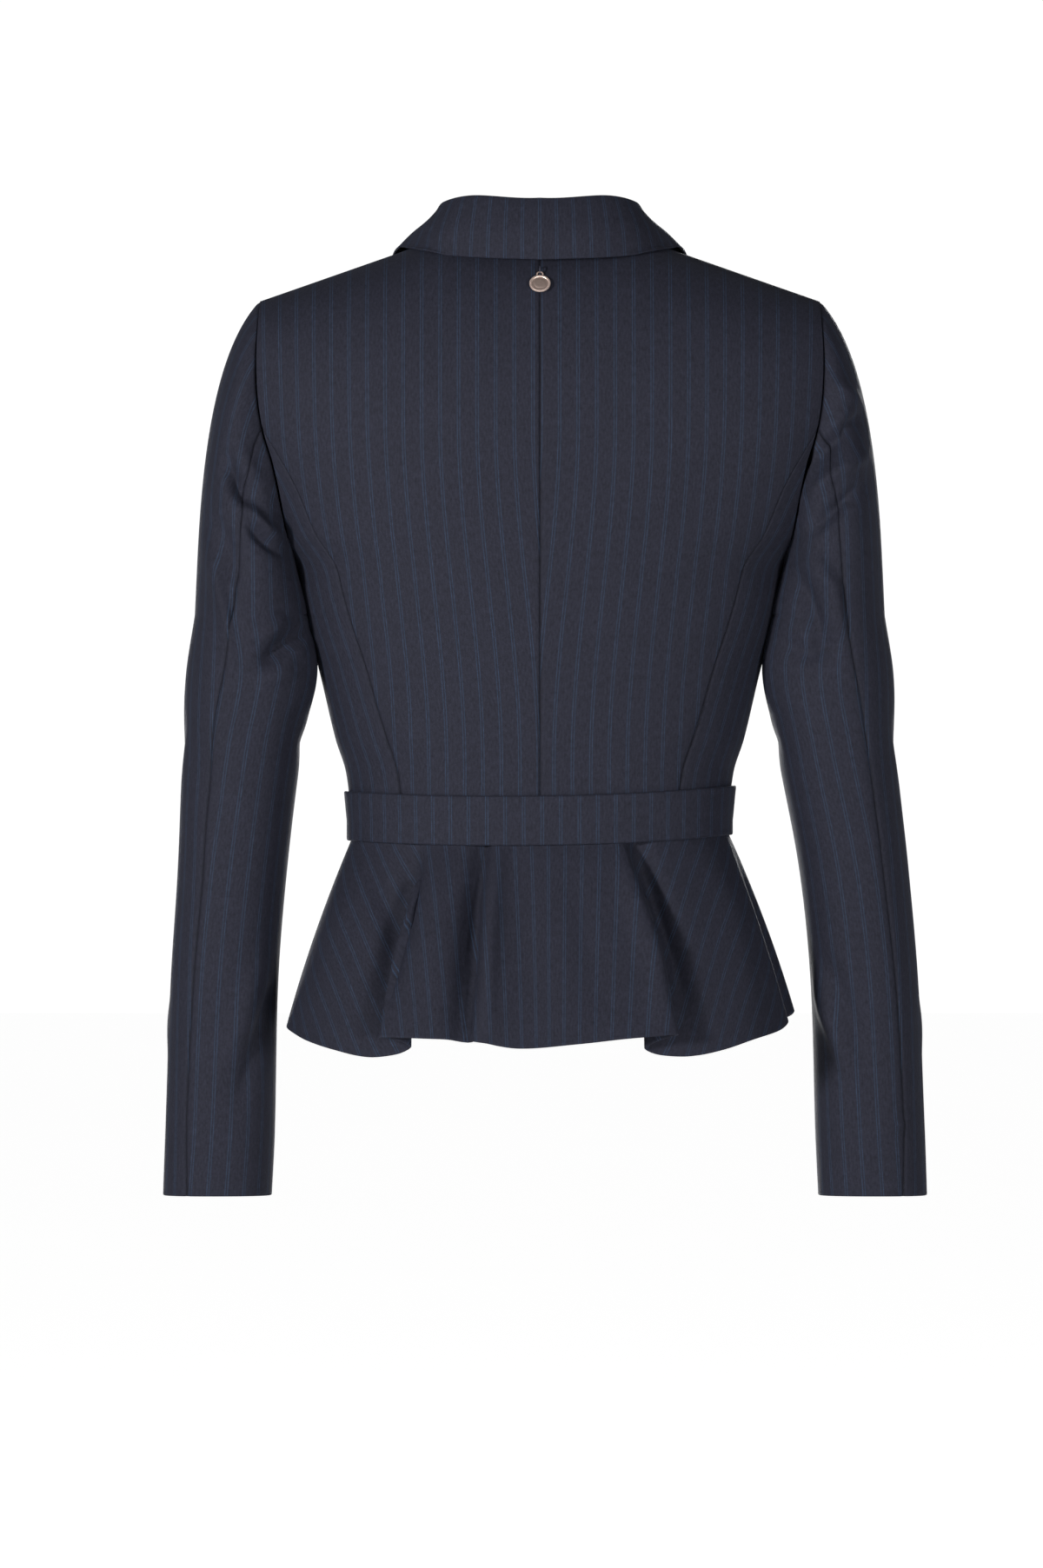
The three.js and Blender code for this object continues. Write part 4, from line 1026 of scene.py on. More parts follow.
@dataclass
class Belt:
    """A strap over the waist seam, lapped at the centre front and buttoned there."""

    finish: Material
    wall: float = 2.2
    cad_wall: float = 2.4
    rise: float = 17
    drop: float = 17
    gap: float = 0.9
    lap: float = 15
    underlap: float = 10
    ramp: float = 14
    seam_gap: float = 0.3
    edge_radius: float = 1.2
    first_stripe: float = 9.2

    def point(self, turn: Array, height: Array) -> Array:
        """Points of the strap's outside: turn runs round it and height up it."""
        z = BODY.waist_height(turn) + mix(-self.drop, self.rise, height)
        angle = np.where(turn > 180, turn - 360, turn)
        base = BODY.point(angle, np.maximum(z, BODY.waist))
        over = (self.cad_wall + self.seam_gap) * eased(turn, 180 - self.lap - self.ramp, 180 - self.lap)
        out = unit(base * np.array([1.0, 1.0, 0.0]))
        base = base + out * (self.gap + self.cad_wall + over)[..., None]
        base[..., 2] = z
        return base

    def strap(self) -> Cloth:
        """The strap's cloth."""
        turn = steps_through((self.underlap - 180, 180 + self.lap), (150,), (0.25, 0.8))
        turn, height = np.meshgrid(turn, steps_through((0, 1), (10,), (0.018, 0.05)))
        points = self.point(turn, height)
        across = lengths_along(points)
        middle = across[:, np.argmin(np.abs(turn[0]))][:, None]
        cloth = Cloth(points, np.stack([across - middle + self.first_stripe, heights(points)], axis=-1))
        return cloth.turned("start end bottom top", self.edge_radius)

    def build(self) -> None:
        """Makes the strap."""
        folds = (
            *seen_from(
                View.BACK,
                (((118, -376), (84, -382), (52, -380)), 0.6, 6),
                (((-20, -398), (-62, -394), (-104, -398)), -0.5, 7),
            ),
            *seen_from(
                View.FRONT,
                (((96, -384), (56, -390), (24, -386)), 0.6, 6),
                (((-28, -396), (-66, -390), (-104, -394)), -0.5, 7),
            ),
        )
        cloth_piece("belt_cloth", self.strap().folded(folds), "belt", self.wall, self.finish)


def finished(name: str, shape: Shape, place: Matrix, finish: Material, body: str) -> Object:
    """Makes a small hard piece from its shape.

    Args:
        name: name of the piece.
        shape: its mesh in millimetres, freed here.
        place: where its own frame lies on the garment, in millimetres.
        finish: its material.
        body: the body that it rides on.

    Returns:
        The piece, at the origin with its place in its mesh.
    """
    bmesh.ops.transform(shape, matrix=Matrix.Scale(MM, 4) @ place, verts=shape.verts)
    bmesh.ops.recalc_face_normals(shape, faces=shape.faces)
    piece = placed(name, shape, finish)
    piece.data.set_sharp_from_angle(angle=math.radians(SHARP_ANGLE))
    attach(piece, body)
    LOG.info("%s: %d faces", name, len(piece.data.polygons))
    return piece


def strand(shape: Shape, path: Sequence[Vector], radius: float, sides: int = 8) -> None:
    """Adds a round strand of thread to a shape, along a path."""
    rings = []
    for k, point in enumerate(path):
        ahead = path[min(k + 1, len(path) - 1)] - path[max(k - 1, 0)]
        turn = ahead.to_track_quat("Z", "Y").to_matrix().to_4x4()
        place = Matrix.Translation(point) @ turn
        rings.append(bmesh.ops.create_circle(shape, segments=sides, radius=radius, matrix=place)["verts"])
    for low, high in zip(rings, rings[1:]):
        for k in range(sides):
            shape.faces.new((low[k], low[(k + 1) % sides], high[(k + 1) % sides], high[k]))
    for end in (rings[0], rings[-1]):
        shape.faces.new(end)


def disc(shape: Shape, radius: float, thickness: float, steps: Sequence, sides: int = 72) -> None:
    """Adds a turned disc, its face towards +Z.

    Args:
        shape: the mesh to add to.
        radius: of the disc.
        thickness: of the disc.
        steps: insets of the face, each a width and a depth.
        sides: how many sides it has.
    """
    bmesh.ops.create_cone(
        shape, cap_ends=True, cap_tris=False, segments=sides, radius1=radius, radius2=radius, depth=thickness
    )
    face = max(shape.faces, key=lambda f: f.calc_center_median().z)
    for width, depth in steps:
        bmesh.ops.inset_region(shape, faces=[face], thickness=width, depth=depth, use_even_offset=True)
    edges = [e for e in shape.edges if e.is_manifold and e.calc_face_angle(0) > 0.5]
    bmesh.ops.bevel(shape, geom=edges, offset=0.16, segments=3, profile=0.5, affect="EDGES", material=-1)


@dataclass
class FrontButton:
    """A sewn-through button with four holes, on the belt's lapped end, over a worked buttonhole."""

    horn: Material
    thread: Material
    belt: Belt
    radius: float = 9
    thickness: float = 3
    hole_radius: float = 0.9
    hole_spread: float = 1.7
    buttonhole: float = 11.5
    stitch: float = 0.42

    def place(self) -> Matrix:
        """The button's own frame: its face, +Z there, turned to the garment's front."""
        low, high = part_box("front_button")
        return Matrix.Translation((low + high) / 2 / MM) @ Matrix.Rotation(math.radians(90), 4, "X")

    def build(self) -> None:
        """Makes the button, its thread and the buttonhole."""
        shape = bmesh.new()
        disc(shape, self.radius, self.thickness, ((1.5, 0.0), (0.7, -0.7), (1.6, -0.12)))
        button = finished("button_disc", shape, self.place(), self.horn, GARMENT)
        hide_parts("front_button")
        corners = [(x * self.hole_spread, y * self.hole_spread) for x in (-1, 1) for y in (-1, 1)]
        drill = bmesh.new()
        for x, y in corners:
            bmesh.ops.create_cone(
                drill, cap_ends=True, segments=24, radius1=self.hole_radius, radius2=self.hole_radius,
                depth=3 * self.thickness, matrix=Matrix.Translation((x, y, 0)),
            )
        cutter = finished("button_drill", drill, self.place(), self.horn, GARMENT)
        cut = button.modifiers.new("holes", "BOOLEAN")
        cut.object, cut.solver = cutter, "EXACT"
        worked = button.evaluated_get(bpy.context.evaluated_depsgraph_get())
        drilled = bpy.data.meshes.new_from_object(worked)
        button.modifiers.clear()
        button.data = drilled
        bpy.data.objects.remove(cutter)
        sewing = bmesh.new()
        face = self.thickness / 2 - 0.75
        for x in (-self.hole_spread, self.hole_spread):
            for k, off in enumerate((-0.45, 0.0, 0.45)):
                path = []
                for s in np.linspace(-1, 1, 13):
                    rise = 0.55 * (1 - s**4) - s**8 + 0.08 * (k % 2)
                    path.append(Vector((x + off * (1 - 0.3 * s * s), s * self.hole_spread, face + rise)))
                strand(sewing, path, 0.3)
        finished("button_thread", sewing, self.place(), self.thread, GARMENT)
        self.worked_buttonhole()

    def worked_buttonhole(self) -> None:
        """Makes the buttonhole's stitches, which lie across the slit on the belt's face."""
        shape = bmesh.new()
        count = 46
        mid = 0.5
        for k in range(count):
            share = k / (count - 1)
            turn = 180 + math.degrees((mix(-0.35, 1.0, share) * self.buttonhole) / 118)
            for way in (-1, 1):
                ends = [mid + way * w / (self.belt.rise + self.belt.drop) for w in (0.15, 1.5)]
                path = []
                for lift, end in ((-0.1, ends[0]), (0.32, mix(ends[0], ends[1], 0.5)), (-0.2, ends[1])):
                    base = self.belt.point(np.array([turn]), np.array([end]))[0]
                    out = unit(base * np.array([1.0, 1.0, 0.0]))
                    path.append(Vector(base + out * lift))
                strand(shape, path, self.stitch / 2, 6)
        finished("buttonhole_stitches", shape, Matrix.Identity(4), self.thread, GARMENT)


@dataclass
class Charm:
    """A plain round charm whose eye hangs on a loop of thread at the centre-back seam."""

    metal: Material
    shaded: Material
    thread: Material
    radius: float = 7.2
    thickness: float = 1.4
    recess: float = 5.6
    face_steps: tuple = ((1.15, 0.0), (0.3, -0.45), (1.5, 0.0), (0.35, 0.22), (1.2, 0.08))
    eye: float = 2.0
    eye_wire: float = 0.5
    eye_rise: float = 8.4
    loop: float = 3
    foot: float = -1.0
    hang: tuple[float, float, float] = (0, 72.688, -14.686)
    normal: tuple[float, float] = (0.7796, 0.6263)

    def place(self) -> Matrix:
        """The loop's own frame: +Y out of the cloth and +Z up along it."""
        lean = Matrix.Rotation(math.atan2(self.normal[1], self.normal[0]), 4, "X")
        return Matrix.Translation(self.hang) @ lean

    def build(self) -> None:
        """Makes the charm and its loop."""
        shape = bmesh.new()
        disc(shape, self.radius, self.thickness, self.face_steps)
        # Faces of the sunk middle take the darker copy of the metal, painted shade in the recess.
        for face in shape.faces:
            centre = face.calc_center_median()
            sunk = centre.xy.length < self.recess and centre.z > 0 and face.normal.z > 0.5
            face.material_index = int(sunk)
        centre = -self.loop - self.eye_rise
        upright = Matrix.Rotation(math.radians(-90), 4, "X")
        bmesh.ops.transform(shape, matrix=Matrix.Translation((0, 0, centre)) @ upright, verts=shape.verts)
        ring = [
            Vector((self.eye * math.cos(turn), 0, self.eye * math.sin(turn) - self.loop))
            for turn in np.linspace(0, 2 * math.pi, 49)
        ]
        strand(shape, ring, self.eye_wire, 12)
        charm = finished("charm_disc", shape, self.place(), self.metal, "charm")
        charm.data.materials.append(self.shaded)
        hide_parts("charm")
        thread = bmesh.new()
        bend = np.linspace(0, math.pi, 33)
        line = [(self.foot, self.loop)] + [(self.loop * math.sin(b), self.loop * math.cos(b)) for b in bend]
        line.append((self.foot, -self.loop))
        for phase in (0.0, 2.1, 4.2):
            path = []
            for k, (y, z) in enumerate(line):
                twist = phase + 0.62 * k
                away = 1 + 0.09 * math.cos(twist)
                path.append(Vector((0.24 * math.sin(twist), y * away if y > 0 else y, z * away)))
            strand(thread, path, 0.26)
        loop = finished("charm_thread", thread, self.place(), self.thread, GARMENT)
        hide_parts("charm_loop")


# Peplum.


@dataclass
class Peplum:
    """A circular-cut skirt sewn to the waist, falling in folds from under the belt."""

    finish: Material
    wool: float = 0.9
    cut_radius: float = 150
    hem: float = 26
    hem_ease: float = 0.35
    flare_ease: float = 0.22
    flare_from: float = 0.11
    right_rise: float = 11
    back_hem: Table = Table(
        "angle x y z",
        (-90, -176, 6, -522), (-84, -168.5, 26, -527), (-78, -171, 38, -529), (-70, -165, 54, -534),
        (-58, -146, 78, -540), (-46, -124, 92, -547), (-36, -101, 98.5, -551), (-32, -82, 100, -550),
        (-29.5, -73, 104, -546), (-27.3, -80, 108.5, -541), (-25, -90, 113, -537.5), (-22.8, -95, 118, -536),
        (-20, -84, 122.5, -536.5), (-14, -58, 126.5, -538.5), (-6, -26, 129, -542), (4, 14, 129, -545),
        (11, 41, 129, -541), (15.5, 54, 121, -539.5), (22, 76, 124, -538.5), (30, 99, 122, -537.6),
        (33, 110, 117.5, -537.6), (35.3, 105, 112.5, -538.5), (37.6, 95, 108, -541),
        (39.8, 89.5, 103.5, -545),
        (42.5, 98, 99.5, -549.5), (48, 117, 97, -551.5), (58, 140, 86, -547), (70, 160, 62, -541),
        (82, 172, 30, -535), (90, 175, 6, -533),
    )
    front_hem: Table = Table(
        "angle x y z",
        (90, 175, 6, -533), (102, 173, -26, -534), (113, 160, -60, -538), (122, 145, -78, -541),
        (130, 139, -101, -540), (139, 114, -106, -541), (148, 101, -129, -540), (158, 72, -129, -541),
        (168, 50, -142, -540), (179.6, 8, -146, -541),
    )

    def right_front(self) -> Table:
        """The right front's hem, a little higher at its side seam."""
        angle, x, y, z = self.front_hem.rows.T
        z = z + self.right_rise * inner(angle, 140, 90)
        x = x + inner(angle, 110, 90)
        return Table("angle x y z", *zip(*(column[::-1] for column in (-angle, -x, y, z))))

    def cloth(self, hem: Table, centre: float) -> Cloth:
        """One piece's cloth.

        Args:
            hem: its hem against the angle at the waist.
            centre: the angle at which its stripes hang straight.

        Returns:
            The cloth, rows from the hem up.
        """
        rows = hem.rows
        spans = np.linalg.norm(np.diff(rows[:, 1:3], axis=0), axis=1)
        angle = steps_through(rows[:, 0], [max(2, round(span / 5.5)) for span in spans], (0.25, 0.7))
        down = 1 - steps_through((0, 1 - self.flare_from, 1), (24, 3), (0.004, 0.014))
        angle, down = np.meshgrid(angle, down)
        x, y, z = hem.at(angle, "x y z")
        waist = BODY.point(angle, np.full(angle.shape, float(BODY.waist)))
        top = BODY.waist_height(angle) - 0.15
        flare = inner(down, self.flare_from, 1)
        out = flare * (1 + self.flare_ease * (1 - flare))
        points = np.stack(
            [mix(waist[..., 0], x, out), mix(waist[..., 1], y, out), mix(top, z, down)], axis=-1
        )
        around = BODY.girth(np.full(angle.shape, centre), angle, np.full(angle.shape, float(BODY.waist)))
        along = lengths_along(points[:1])[0]
        along = along - np.interp(centre, angle[0], along)
        up = heights(points)
        deep = up[-1:] - up
        turn = mix(around / self.cut_radius, along / (self.cut_radius + deep[:1]), self.hem_ease * down)
        radius = self.cut_radius + deep
        return Cloth(points, np.stack([radius * np.sin(turn), -radius * np.cos(turn)], axis=-1))

    def build(self) -> None:
        """Makes the back and the two fronts."""
        folds = (
            *seen_from(
                View.BACK,
                (((33, -378), (39, -412), (44, -446), (47, -482), (50, -518), (53, -560)), -11.5, 5.2, -0.35),
                (((26, -404), (31, -436), (34, -478), (36, -540)), 5.5, 5.5),
                (((83, -400), (90, -433), (96, -461), (102, -486), (108, -520)), -8.0, 9.5, 0.0),
                (((64, -410), (68, -446), (71, -490), (72, -540)), 3.4, 12),
                (((125, -408), (115, -429), (106, -452), (104, -474)), -4.5, 7),
                (((132, -430), (146, -474), (158, -524)), 2.6, 12),
                (((12, -412), (12, -460), (8, -528)), -2.2, 11),
                (((-53, -404), (-68, -449), (-79, -481), (-88, -532)), 6.5, 7.5, -0.3),
                (((-60, -382), (-70, -416), (-81, -450), (-92, -484), (-101, -528)), -9.5, 6.2),
                (((-22, -420), (-32, -470), (-42, -530)), -2.0, 11),
                (((-122, -416), (-138, -460), (-150, -516)), 2.8, 12),
            ),
            *seen_from(
                View.FRONT,
                (((132, -412), (144, -460), (150, -520)), -4.0, 10),
                (((86, -412), (98, -456), (104, -528)), 4.0, 10, 0.2),
                (((50, -416), (62, -462), (72, -528)), -4.6, 9),
                (((-46, -414), (-56, -458), (-66, -526)), -5.0, 9, -0.2),
                (((-84, -412), (-100, -462), (-106, -524)), 3.6, 11),
                (((-128, -414), (-138, -456), (-146, -512)), -3.4, 10),
            ),
        )
        belt = ("belt_cloth",)
        pieces = (
            ("peplum_back", self.back_hem, 0.0, Sheet(530, 280, "hung", belt)),
            ("peplum_front_left", self.front_hem, 179.6, Sheet(272, 290, "hung", belt)),
            ("peplum_front_right", self.right_front(), -179.6, Sheet(272, 290, "hung", belt)),
        )
        for name, hem, centre, sheet in pieces:
            seams = "start end" if centre == 0 else "start" if centre > 0 else "end"
            cloth = self.cloth(hem, centre).folded(folds).sewn(seams)
            cloth_piece(f"{name}_cloth", cloth.hemmed(self.hem), name, self.wool, self.finish)


# Finishes.


def fill(tree: Tree, made: bpy.types.Node, inputs: dict) -> bpy.types.Node:
    """Links or sets the sockets of a node that inputs names, and returns the node."""
    for key, value in inputs.items():
        if isinstance(value, Socket):
            tree.links.new(value, made.inputs[key])
        else:
            made.inputs[key].default_value = value
    return made


def node(tree: Tree, kind: str, inputs: dict | None = None, **settings: object) -> bpy.types.Node:
    """Adds a node.

    Args:
        tree: the tree that it joins.
        kind: its type's name.
        inputs: a value or another node's socket for each of its sockets.
        settings: values of its own properties.

    Returns:
        The node.
    """
    made = tree.nodes.new(kind)
    for name, value in settings.items():
        setattr(made, name, value)
    return fill(tree, made, inputs or {})


def maths(tree: Tree, operation: str, *values: object) -> Socket:
    """Adds a Math node on these values or sockets and returns its result."""
    return node(tree, "ShaderNodeMath", dict(enumerate(values)), operation=operation).outputs[0]


def noise(tree: Tree, place: Socket, scale: float | Socket, detail: float, **more: float) -> Socket:
    """Adds a noise texture and returns its value."""
    inputs = {"Vector": place, "Scale": scale, "Detail": detail, **more}
    return node(tree, "ShaderNodeTexNoise", inputs).outputs[0]


def scaled(tree: Tree, place: Socket, scale: tuple[float, float, float]) -> Socket:
    """Adds a node that stretches a place along its axes and returns the result."""
    return node(tree, "ShaderNodeMapping", {"Vector": place, "Scale": scale}).outputs[0]


def blend(tree: Tree, share: float | Socket, a: object, b: object, **settings: object) -> Socket:
    """Adds a node that mixes two colours and returns the result."""
    inputs = {"Factor": share, 6: a, 7: b}
    return node(tree, "ShaderNodeMix", inputs, data_type="RGBA", **settings).outputs[2]


def bumped(tree: Tree, shader: bpy.types.Node, height: Socket, strength: float, distance: float) -> None:
    """Gives a shader small relief from a height."""
    inputs = {"Height": height, "Strength": strength, "Distance": distance}
    tree.links.new(node(tree, "ShaderNodeBump", inputs).outputs[0], shader.inputs["Normal"])


def group(name: str, inputs: dict, outputs: dict) -> tuple[Tree, dict, bpy.types.Node]:
    """Starts a shader node group.

    Args:
        name: its name.
        inputs: kinds of its inputs by name.
        outputs: kinds of its outputs by name.

    Returns:
        The group, its input sockets by name, and its output node.
    """
    tree = bpy.data.node_groups.new(name, "ShaderNodeTree")
    for label, kind in inputs.items():
        tree.interface.new_socket(label, in_out="INPUT", socket_type=f"NodeSocket{kind}")
    for label, kind in outputs.items():
        tree.interface.new_socket(label, in_out="OUTPUT", socket_type=f"NodeSocket{kind}")
    start, end = tree.nodes.new("NodeGroupInput"), tree.nodes.new("NodeGroupOutput")
    return tree, {label: start.outputs[label] for label in inputs}, end


def pinstripe_group() -> Tree:
    """Pairs of fine lines down the cloth, each line a row of small stitches of coloured yarn."""
    tree, given, end = group(
        "pinstripe",
        {"Place": "Vector", "Spacing": "Float", "Pair": "Float", "Line": "Float", "Stitch": "Float"},
        {"Stripe": "Float"},
    )
    place = node(tree, "ShaderNodeSeparateXYZ", {0: given["Place"]}).outputs
    share = maths(tree, "FRACT", maths(tree, "DIVIDE", place["X"], given["Spacing"]))
    from_middle = maths(tree, "ABSOLUTE", maths(tree, "SUBTRACT", share, 0.5))
    off = maths(tree, "MULTIPLY", from_middle, given["Spacing"])
    half_pair = maths(tree, "DIVIDE", given["Pair"], 2.0)
    from_line = maths(tree, "ABSOLUTE", maths(tree, "SUBTRACT", off, half_pair))
    line = node(
        tree, "ShaderNodeMapRange", {"Value": from_line, "From Min": given["Line"], "From Max": 0.0},
        interpolation_type="SMOOTHSTEP",
    ).outputs[0]
    stitches = maths(tree, "DIVIDE", place["Y"], given["Stitch"])
    beat = maths(tree, "SINE", maths(tree, "MULTIPLY", stitches, 2 * math.pi))
    strength = maths(tree, "MULTIPLY_ADD", beat, 0.22, 0.78)
    tree.links.new(maths(tree, "MULTIPLY", line, strength), end.inputs["Stripe"])
    return tree


def twill_group() -> Tree:
    """The slanting ribs of a twill, with the yarns' unevenness."""
    tree, given, end = group(
        "twill", {"Place": "Vector", "Pitch": "Float"}, {"Height": "Float", "Thread": "Float"}
    )
    place = node(tree, "ShaderNodeSeparateXYZ", {0: given["Place"]}).outputs
    fibre = noise(tree, given["Place"], 2400.0, 2.0)
    slant = maths(tree, "MULTIPLY_ADD", place["Y"], 1.15, place["X"])
    turn = maths(tree, "MULTIPLY", maths(tree, "DIVIDE", slant, given["Pitch"]), 2 * math.pi)
    rib = maths(tree, "SINE", maths(tree, "MULTIPLY_ADD", fibre, 1.6, turn))
    fuzz = maths(tree, "MULTIPLY", fibre, 0.6)
    tree.links.new(maths(tree, "MULTIPLY_ADD", rib, 0.35, fuzz), end.inputs["Height"])
    tree.links.new(maths(tree, "MULTIPLY_ADD", rib, 0.5, 0.5), end.inputs["Thread"])
    return tree


def cloud_group() -> Tree:
    """Soft unevenness of a surface around 1, in patches and along the yarns."""
    tree, given, end = group(
        "cloud", {"Place": "Vector", "Scale": "Float", "Amount": "Float"}, {"Tone": "Float"}
    )
    patch = noise(tree, given["Place"], given["Scale"], 3.0)
    slub = noise(tree, scaled(tree, given["Place"], (1.0, 0.3, 1.0)), 700.0, 1.0)
    both = maths(tree, "SUBTRACT", maths(tree, "ADD", patch, slub), 1.0)
    tree.links.new(maths(tree, "MULTIPLY_ADD", both, given["Amount"], 1.0), end.inputs["Tone"])
    return tree


def material(name: str) -> tuple[Material, Tree, bpy.types.Node]:
    """An empty material with its shader and output joined."""
    made = bpy.data.materials.new(name)
    made.use_nodes = True
    tree = made.node_tree
    return made, tree, tree.nodes["Principled BSDF"]


def group_node(tree: Tree, made: Tree, inputs: dict) -> bpy.types.NodeOutputs:
    """Adds a node that holds a group, then sets its sockets."""
    holder = tree.nodes.new("ShaderNodeGroup")
    holder.node_tree = made
    return fill(tree, holder, inputs).outputs


@dataclass(frozen=True)
class Groups:
    """The shared effects, each built once."""

    pinstripe: Tree
    twill: Tree
    cloud: Tree


@dataclass(frozen=True)
class Wool:
    """Navy worsted twill with a soft sheen, fine double pinstripes and painted shade along its seams."""

    base: Colour = (0.0157, 0.0165, 0.0264, 1.0)
    stripe: Colour = (0.0225, 0.0400, 0.0745, 1.0)
    spacing: float = 12.7
    pair: float = 1.7
    line: float = 0.44
    stitch: float = 1.3
    pitch: float = 0.62

    def build(self, groups: Groups) -> Material:
        """Makes the material from the piece's own flat places."""
        made, tree, shader = material("wool_pinstripe")
        place = node(tree, "ShaderNodeUVMap", uv_map="cut").outputs[0]
        sizes = {
            "Spacing": self.spacing * MM,
            "Pair": self.pair * MM,
            "Line": self.line * MM,
            "Stitch": self.stitch * MM,
        }
        stripe = group_node(tree, groups.pinstripe, {"Place": place, **sizes})["Stripe"]
        twill = group_node(tree, groups.twill, {"Place": place, "Pitch": self.pitch * MM})
        patches = group_node(tree, groups.cloud, {"Place": place, "Scale": 45.0, "Amount": 0.25})["Tone"]
        yarns = group_node(tree, groups.cloud, {"Place": place, "Scale": 620.0, "Amount": 0.6})["Tone"]
        tone = maths(tree, "MULTIPLY", patches, yarns)
        seam = node(tree, "ShaderNodeAttribute", attribute_name="seam").outputs["Fac"]
        colour = blend(tree, stripe, self.base, self.stripe)
        weave = maths(tree, "MULTIPLY_ADD", twill["Thread"], 0.16, 0.92)
        # Painted shade: the cloth is darkened along the seams' grooves.
        dark = maths(tree, "MULTIPLY_ADD", maths(tree, "POWER", seam, 2.0), -0.55, 1.0)
        shade = maths(tree, "MULTIPLY", maths(tree, "MULTIPLY", tone, weave), dark)
        grey = node(tree, "ShaderNodeCombineColor", {0: shade, 1: shade, 2: shade}).outputs[0]
        cloth = blend(tree, 1.0, colour, grey, blend_type="MULTIPLY")
        tree.links.new(cloth, shader.inputs["Base Color"])
        tree.links.new(maths(tree, "MULTIPLY_ADD", patches, 0.2, 0.56), shader.inputs["Roughness"])
        bumped(tree, shader, twill["Height"], 0.45, 0.00012)
        shader.inputs["Sheen Weight"].default_value = 0.025
        shader.inputs["Sheen Roughness"].default_value = 0.45
        shader.inputs["Sheen Tint"].default_value = (0.62, 0.68, 0.95, 1.0)
        shader.inputs["Specular IOR Level"].default_value = 0.14
        return made


@dataclass(frozen=True)
class Horn:
    """Dark polished horn, streaked and softly clouded."""

    dark: Colour = (0.006, 0.006, 0.009, 1.0)
    pale: Colour = (0.030, 0.026, 0.030, 1.0)

    def build(self, groups: Groups) -> Material:
        """Makes the material."""
        made, tree, shader = material("horn_dark")
        place = node(tree, "ShaderNodeTexCoord").outputs["Object"]
        streaks = noise(tree, scaled(tree, place, (90.0, 90.0, 420.0)), 3.0, 4.0, Distortion=1.2)
        tree.links.new(blend(tree, streaks, self.dark, self.pale), shader.inputs["Base Color"])
        tone = group_node(tree, groups.cloud, {"Place": place, "Scale": 600.0, "Amount": 0.5})["Tone"]
        tree.links.new(maths(tree, "MULTIPLY", tone, 0.3), shader.inputs["Roughness"])
        shader.inputs["Coat Weight"].default_value = 0.35
        return made


@dataclass(frozen=True)
class RoseMetal:
    """Pale rose metal, brushed, its tone uneven."""

    name: str
    pale: Colour
    deep: Colour

    def build(self, groups: Groups) -> Material:
        """Makes the material."""
        made, tree, shader = material(self.name)
        place = node(tree, "ShaderNodeTexCoord").outputs["Object"]
        lines = noise(tree, scaled(tree, place, (1.0, 14.0, 14.0)), 900.0, 3.0)
        tone = group_node(tree, groups.cloud, {"Place": place, "Scale": 500.0, "Amount": 0.6})["Tone"]
        share = maths(tree, "MULTIPLY", tone, lines)
        tree.links.new(blend(tree, share, self.deep, self.pale), shader.inputs["Base Color"])
        tree.links.new(maths(tree, "MULTIPLY_ADD", lines, 0.25, 0.32), shader.inputs["Roughness"])
        bumped(tree, shader, lines, 0.3, 0.00005)
        shader.inputs["Metallic"].default_value = 0.8
        return made


@dataclass(frozen=True)
class Thread:
    """Navy sewing thread, twisted."""

    dark: Colour = (0.012, 0.013, 0.024, 1.0)
    pale: Colour = (0.040, 0.044, 0.072, 1.0)

    def build(self, groups: Groups) -> Material:
        """Makes the material."""
        made, tree, shader = material("thread_navy")
        place = node(tree, "ShaderNodeTexCoord").outputs["Object"]
        waves = {"Vector": place, "Scale": 700.0, "Distortion": 1.5}
        twist = node(tree, "ShaderNodeTexWave", waves, bands_direction="DIAGONAL").outputs["Fac"]
        tone = group_node(tree, groups.cloud, {"Place": place, "Scale": 900.0, "Amount": 0.6})["Tone"]
        share = maths(tree, "MULTIPLY", tone, twist)
        tree.links.new(blend(tree, share, self.dark, self.pale), shader.inputs["Base Color"])
        tree.links.new(maths(tree, "MULTIPLY_ADD", twist, 0.2, 0.6), shader.inputs["Roughness"])
        bumped(tree, shader, twist, 0.5, 0.0001)
        return made


# Studio.


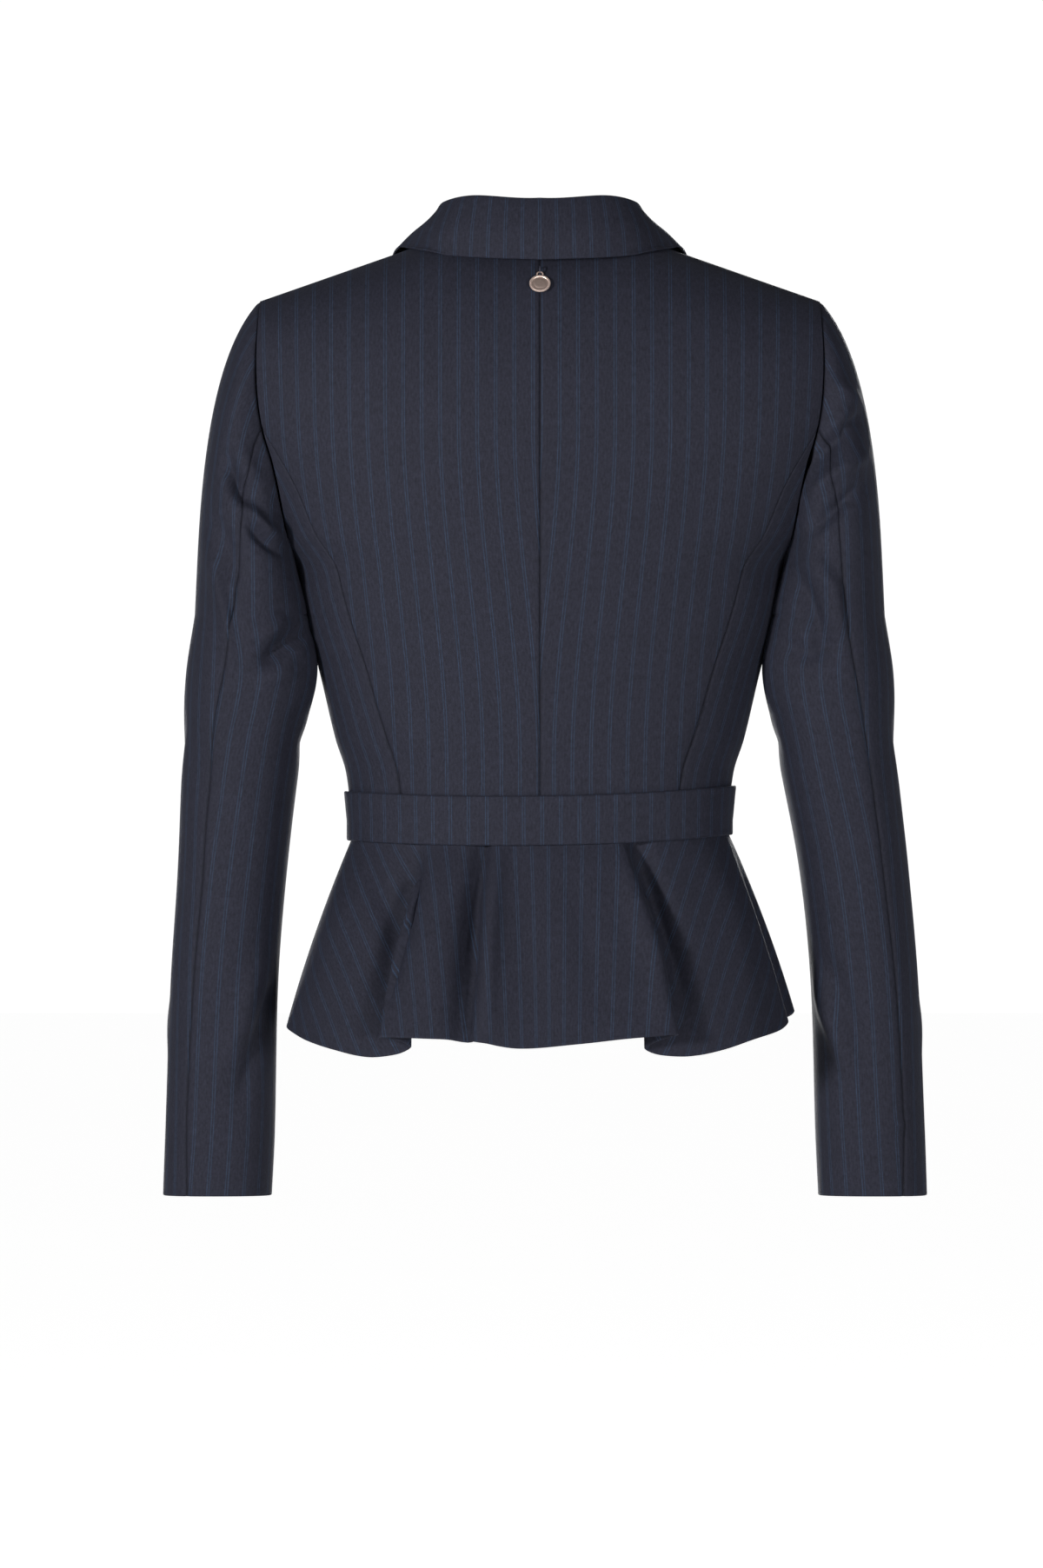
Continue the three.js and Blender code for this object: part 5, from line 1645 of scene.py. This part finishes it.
@dataclass
class Studio:
    """A pale floor, soft light from all round and a level camera behind the garment."""

    floor_height: float = -1.05
    floor_size: float = 60.0
    aim: tuple[float, float] = (0.0126, -0.366)
    distance: float = 9.0
    frame_height: float = 1.0824
    sensor: float = 36.0
    floor_glow: float = 0.85
    backdrop: float = 0.91
    ambient: float = 0.14
    lamps: tuple = (
        ("key", (2.7, 3.2, 0.1), 0.5, 150),
        ("fill", (-2.2, 3.7, -0.6), 1.0, 92),
        ("front_key", (-0.7, -4.2, 0.3), 0.6, 130),
        ("front_fill", (0.8, -4.2, -0.6), 1.2, 80),
    )

    def floor(self) -> None:
        """Makes the floor."""
        made, tree, shader = material("floor_pale")
        place = node(tree, "ShaderNodeTexCoord").outputs["Object"]
        colour = blend(tree, noise(tree, place, 3.0, 2.0), (0.93, 0.93, 0.93, 1), (0.96, 0.96, 0.96, 1))
        tree.links.new(colour, shader.inputs["Base Color"])
        shader.inputs["Roughness"].default_value = 0.9
        seen = tree.nodes.new("ShaderNodeLightPath").outputs["Is Camera Ray"]
        tree.links.new(maths(tree, "MULTIPLY", seen, self.floor_glow), shader.inputs["Emission Strength"])
        shader.inputs["Emission Color"].default_value = (1, 1, 1, 1)
        shape = bmesh.new()
        bmesh.ops.create_grid(shape, x_segments=8, y_segments=8, size=self.floor_size / 2)
        bmesh.ops.translate(shape, verts=shape.verts, vec=(0, 0, self.floor_height))
        floor = placed("floor", shape, made)

    def lamp(self, name: str, place: tuple[float, float, float], size: float, power: float) -> None:
        """Adds a square soft light that faces the garment."""
        light = bpy.data.lights.new(name, "AREA")
        light.size, light.energy = size, power
        lamp = bpy.data.objects.new(name, light)
        lamp.location = place
        aim = Vector((0, 0, self.aim[1])) - Vector(place)
        lamp.rotation_euler = aim.to_track_quat("-Z", "Y").to_euler()
        lamp.visible_camera = False
        bpy.context.scene.collection.objects.link(lamp)

    def world(self) -> None:
        """White all round, dimmer as light than as the backdrop."""
        world = bpy.data.worlds.new("studio")
        bpy.context.scene.world = world
        world.use_nodes = True
        tree = world.node_tree
        seen = tree.nodes.new("ShaderNodeLightPath").outputs["Is Camera Ray"]
        strength = maths(tree, "MULTIPLY_ADD", seen, self.backdrop, self.ambient)
        background = tree.nodes["Background"]
        background.inputs["Color"].default_value = (1, 1, 1, 1)
        tree.links.new(strength, background.inputs["Strength"])

    def camera(self) -> None:
        """Makes the camera, far enough back that the garment shows almost without perspective."""
        data = bpy.data.cameras.new("camera")
        data.sensor_width = self.sensor
        data.lens = self.sensor * self.distance / self.frame_height
        data.clip_end = 200
        camera = bpy.data.objects.new("camera", data)
        camera.location = (self.aim[0], self.distance, self.aim[1])
        camera.rotation_euler = (math.radians(90), 0, math.radians(180))
        bpy.context.scene.collection.objects.link(camera)
        bpy.context.scene.camera = camera

    def build(self) -> None:
        """Makes the floor, the lights, the world and the camera."""
        self.floor()
        self.world()
        for lamp in self.lamps:
            self.lamp(*lamp)
        self.camera()
        bpy.context.scene.view_settings.view_transform = "Standard"


def main() -> None:
    """Builds the blazer's pieces in order, then the studio."""
    logging.basicConfig(level=logging.INFO, format="%(name)s: %(message)s")
    groups = Groups(pinstripe_group(), twill_group(), cloud_group())
    wool, horn = Wool().build(groups), Horn().build(groups)
    metal = RoseMetal("metal_rose", (0.98, 0.80, 0.71, 1.0), (0.80, 0.60, 0.52, 1.0)).build(groups)
    # A darker copy of the rose metal, painted shade for the charm's sunk face.
    shaded = RoseMetal("metal_rose_painted_shade", (0.62, 0.48, 0.42, 1.0), (0.36, 0.27, 0.24, 1.0)).build(groups)
    thread = Thread().build(groups)
    Studio().build()
    bodice = Bodice(wool)
    bodice.build()
    Sleeves(wool, bodice).build()
    Collar(wool, bodice).build()
    belt = Belt(wool)
    belt.build()
    Peplum(wool).build()
    FrontButton(horn, thread, belt).build()
    Charm(metal, shaded, thread).build()


if __name__ == "__main__":
    main()
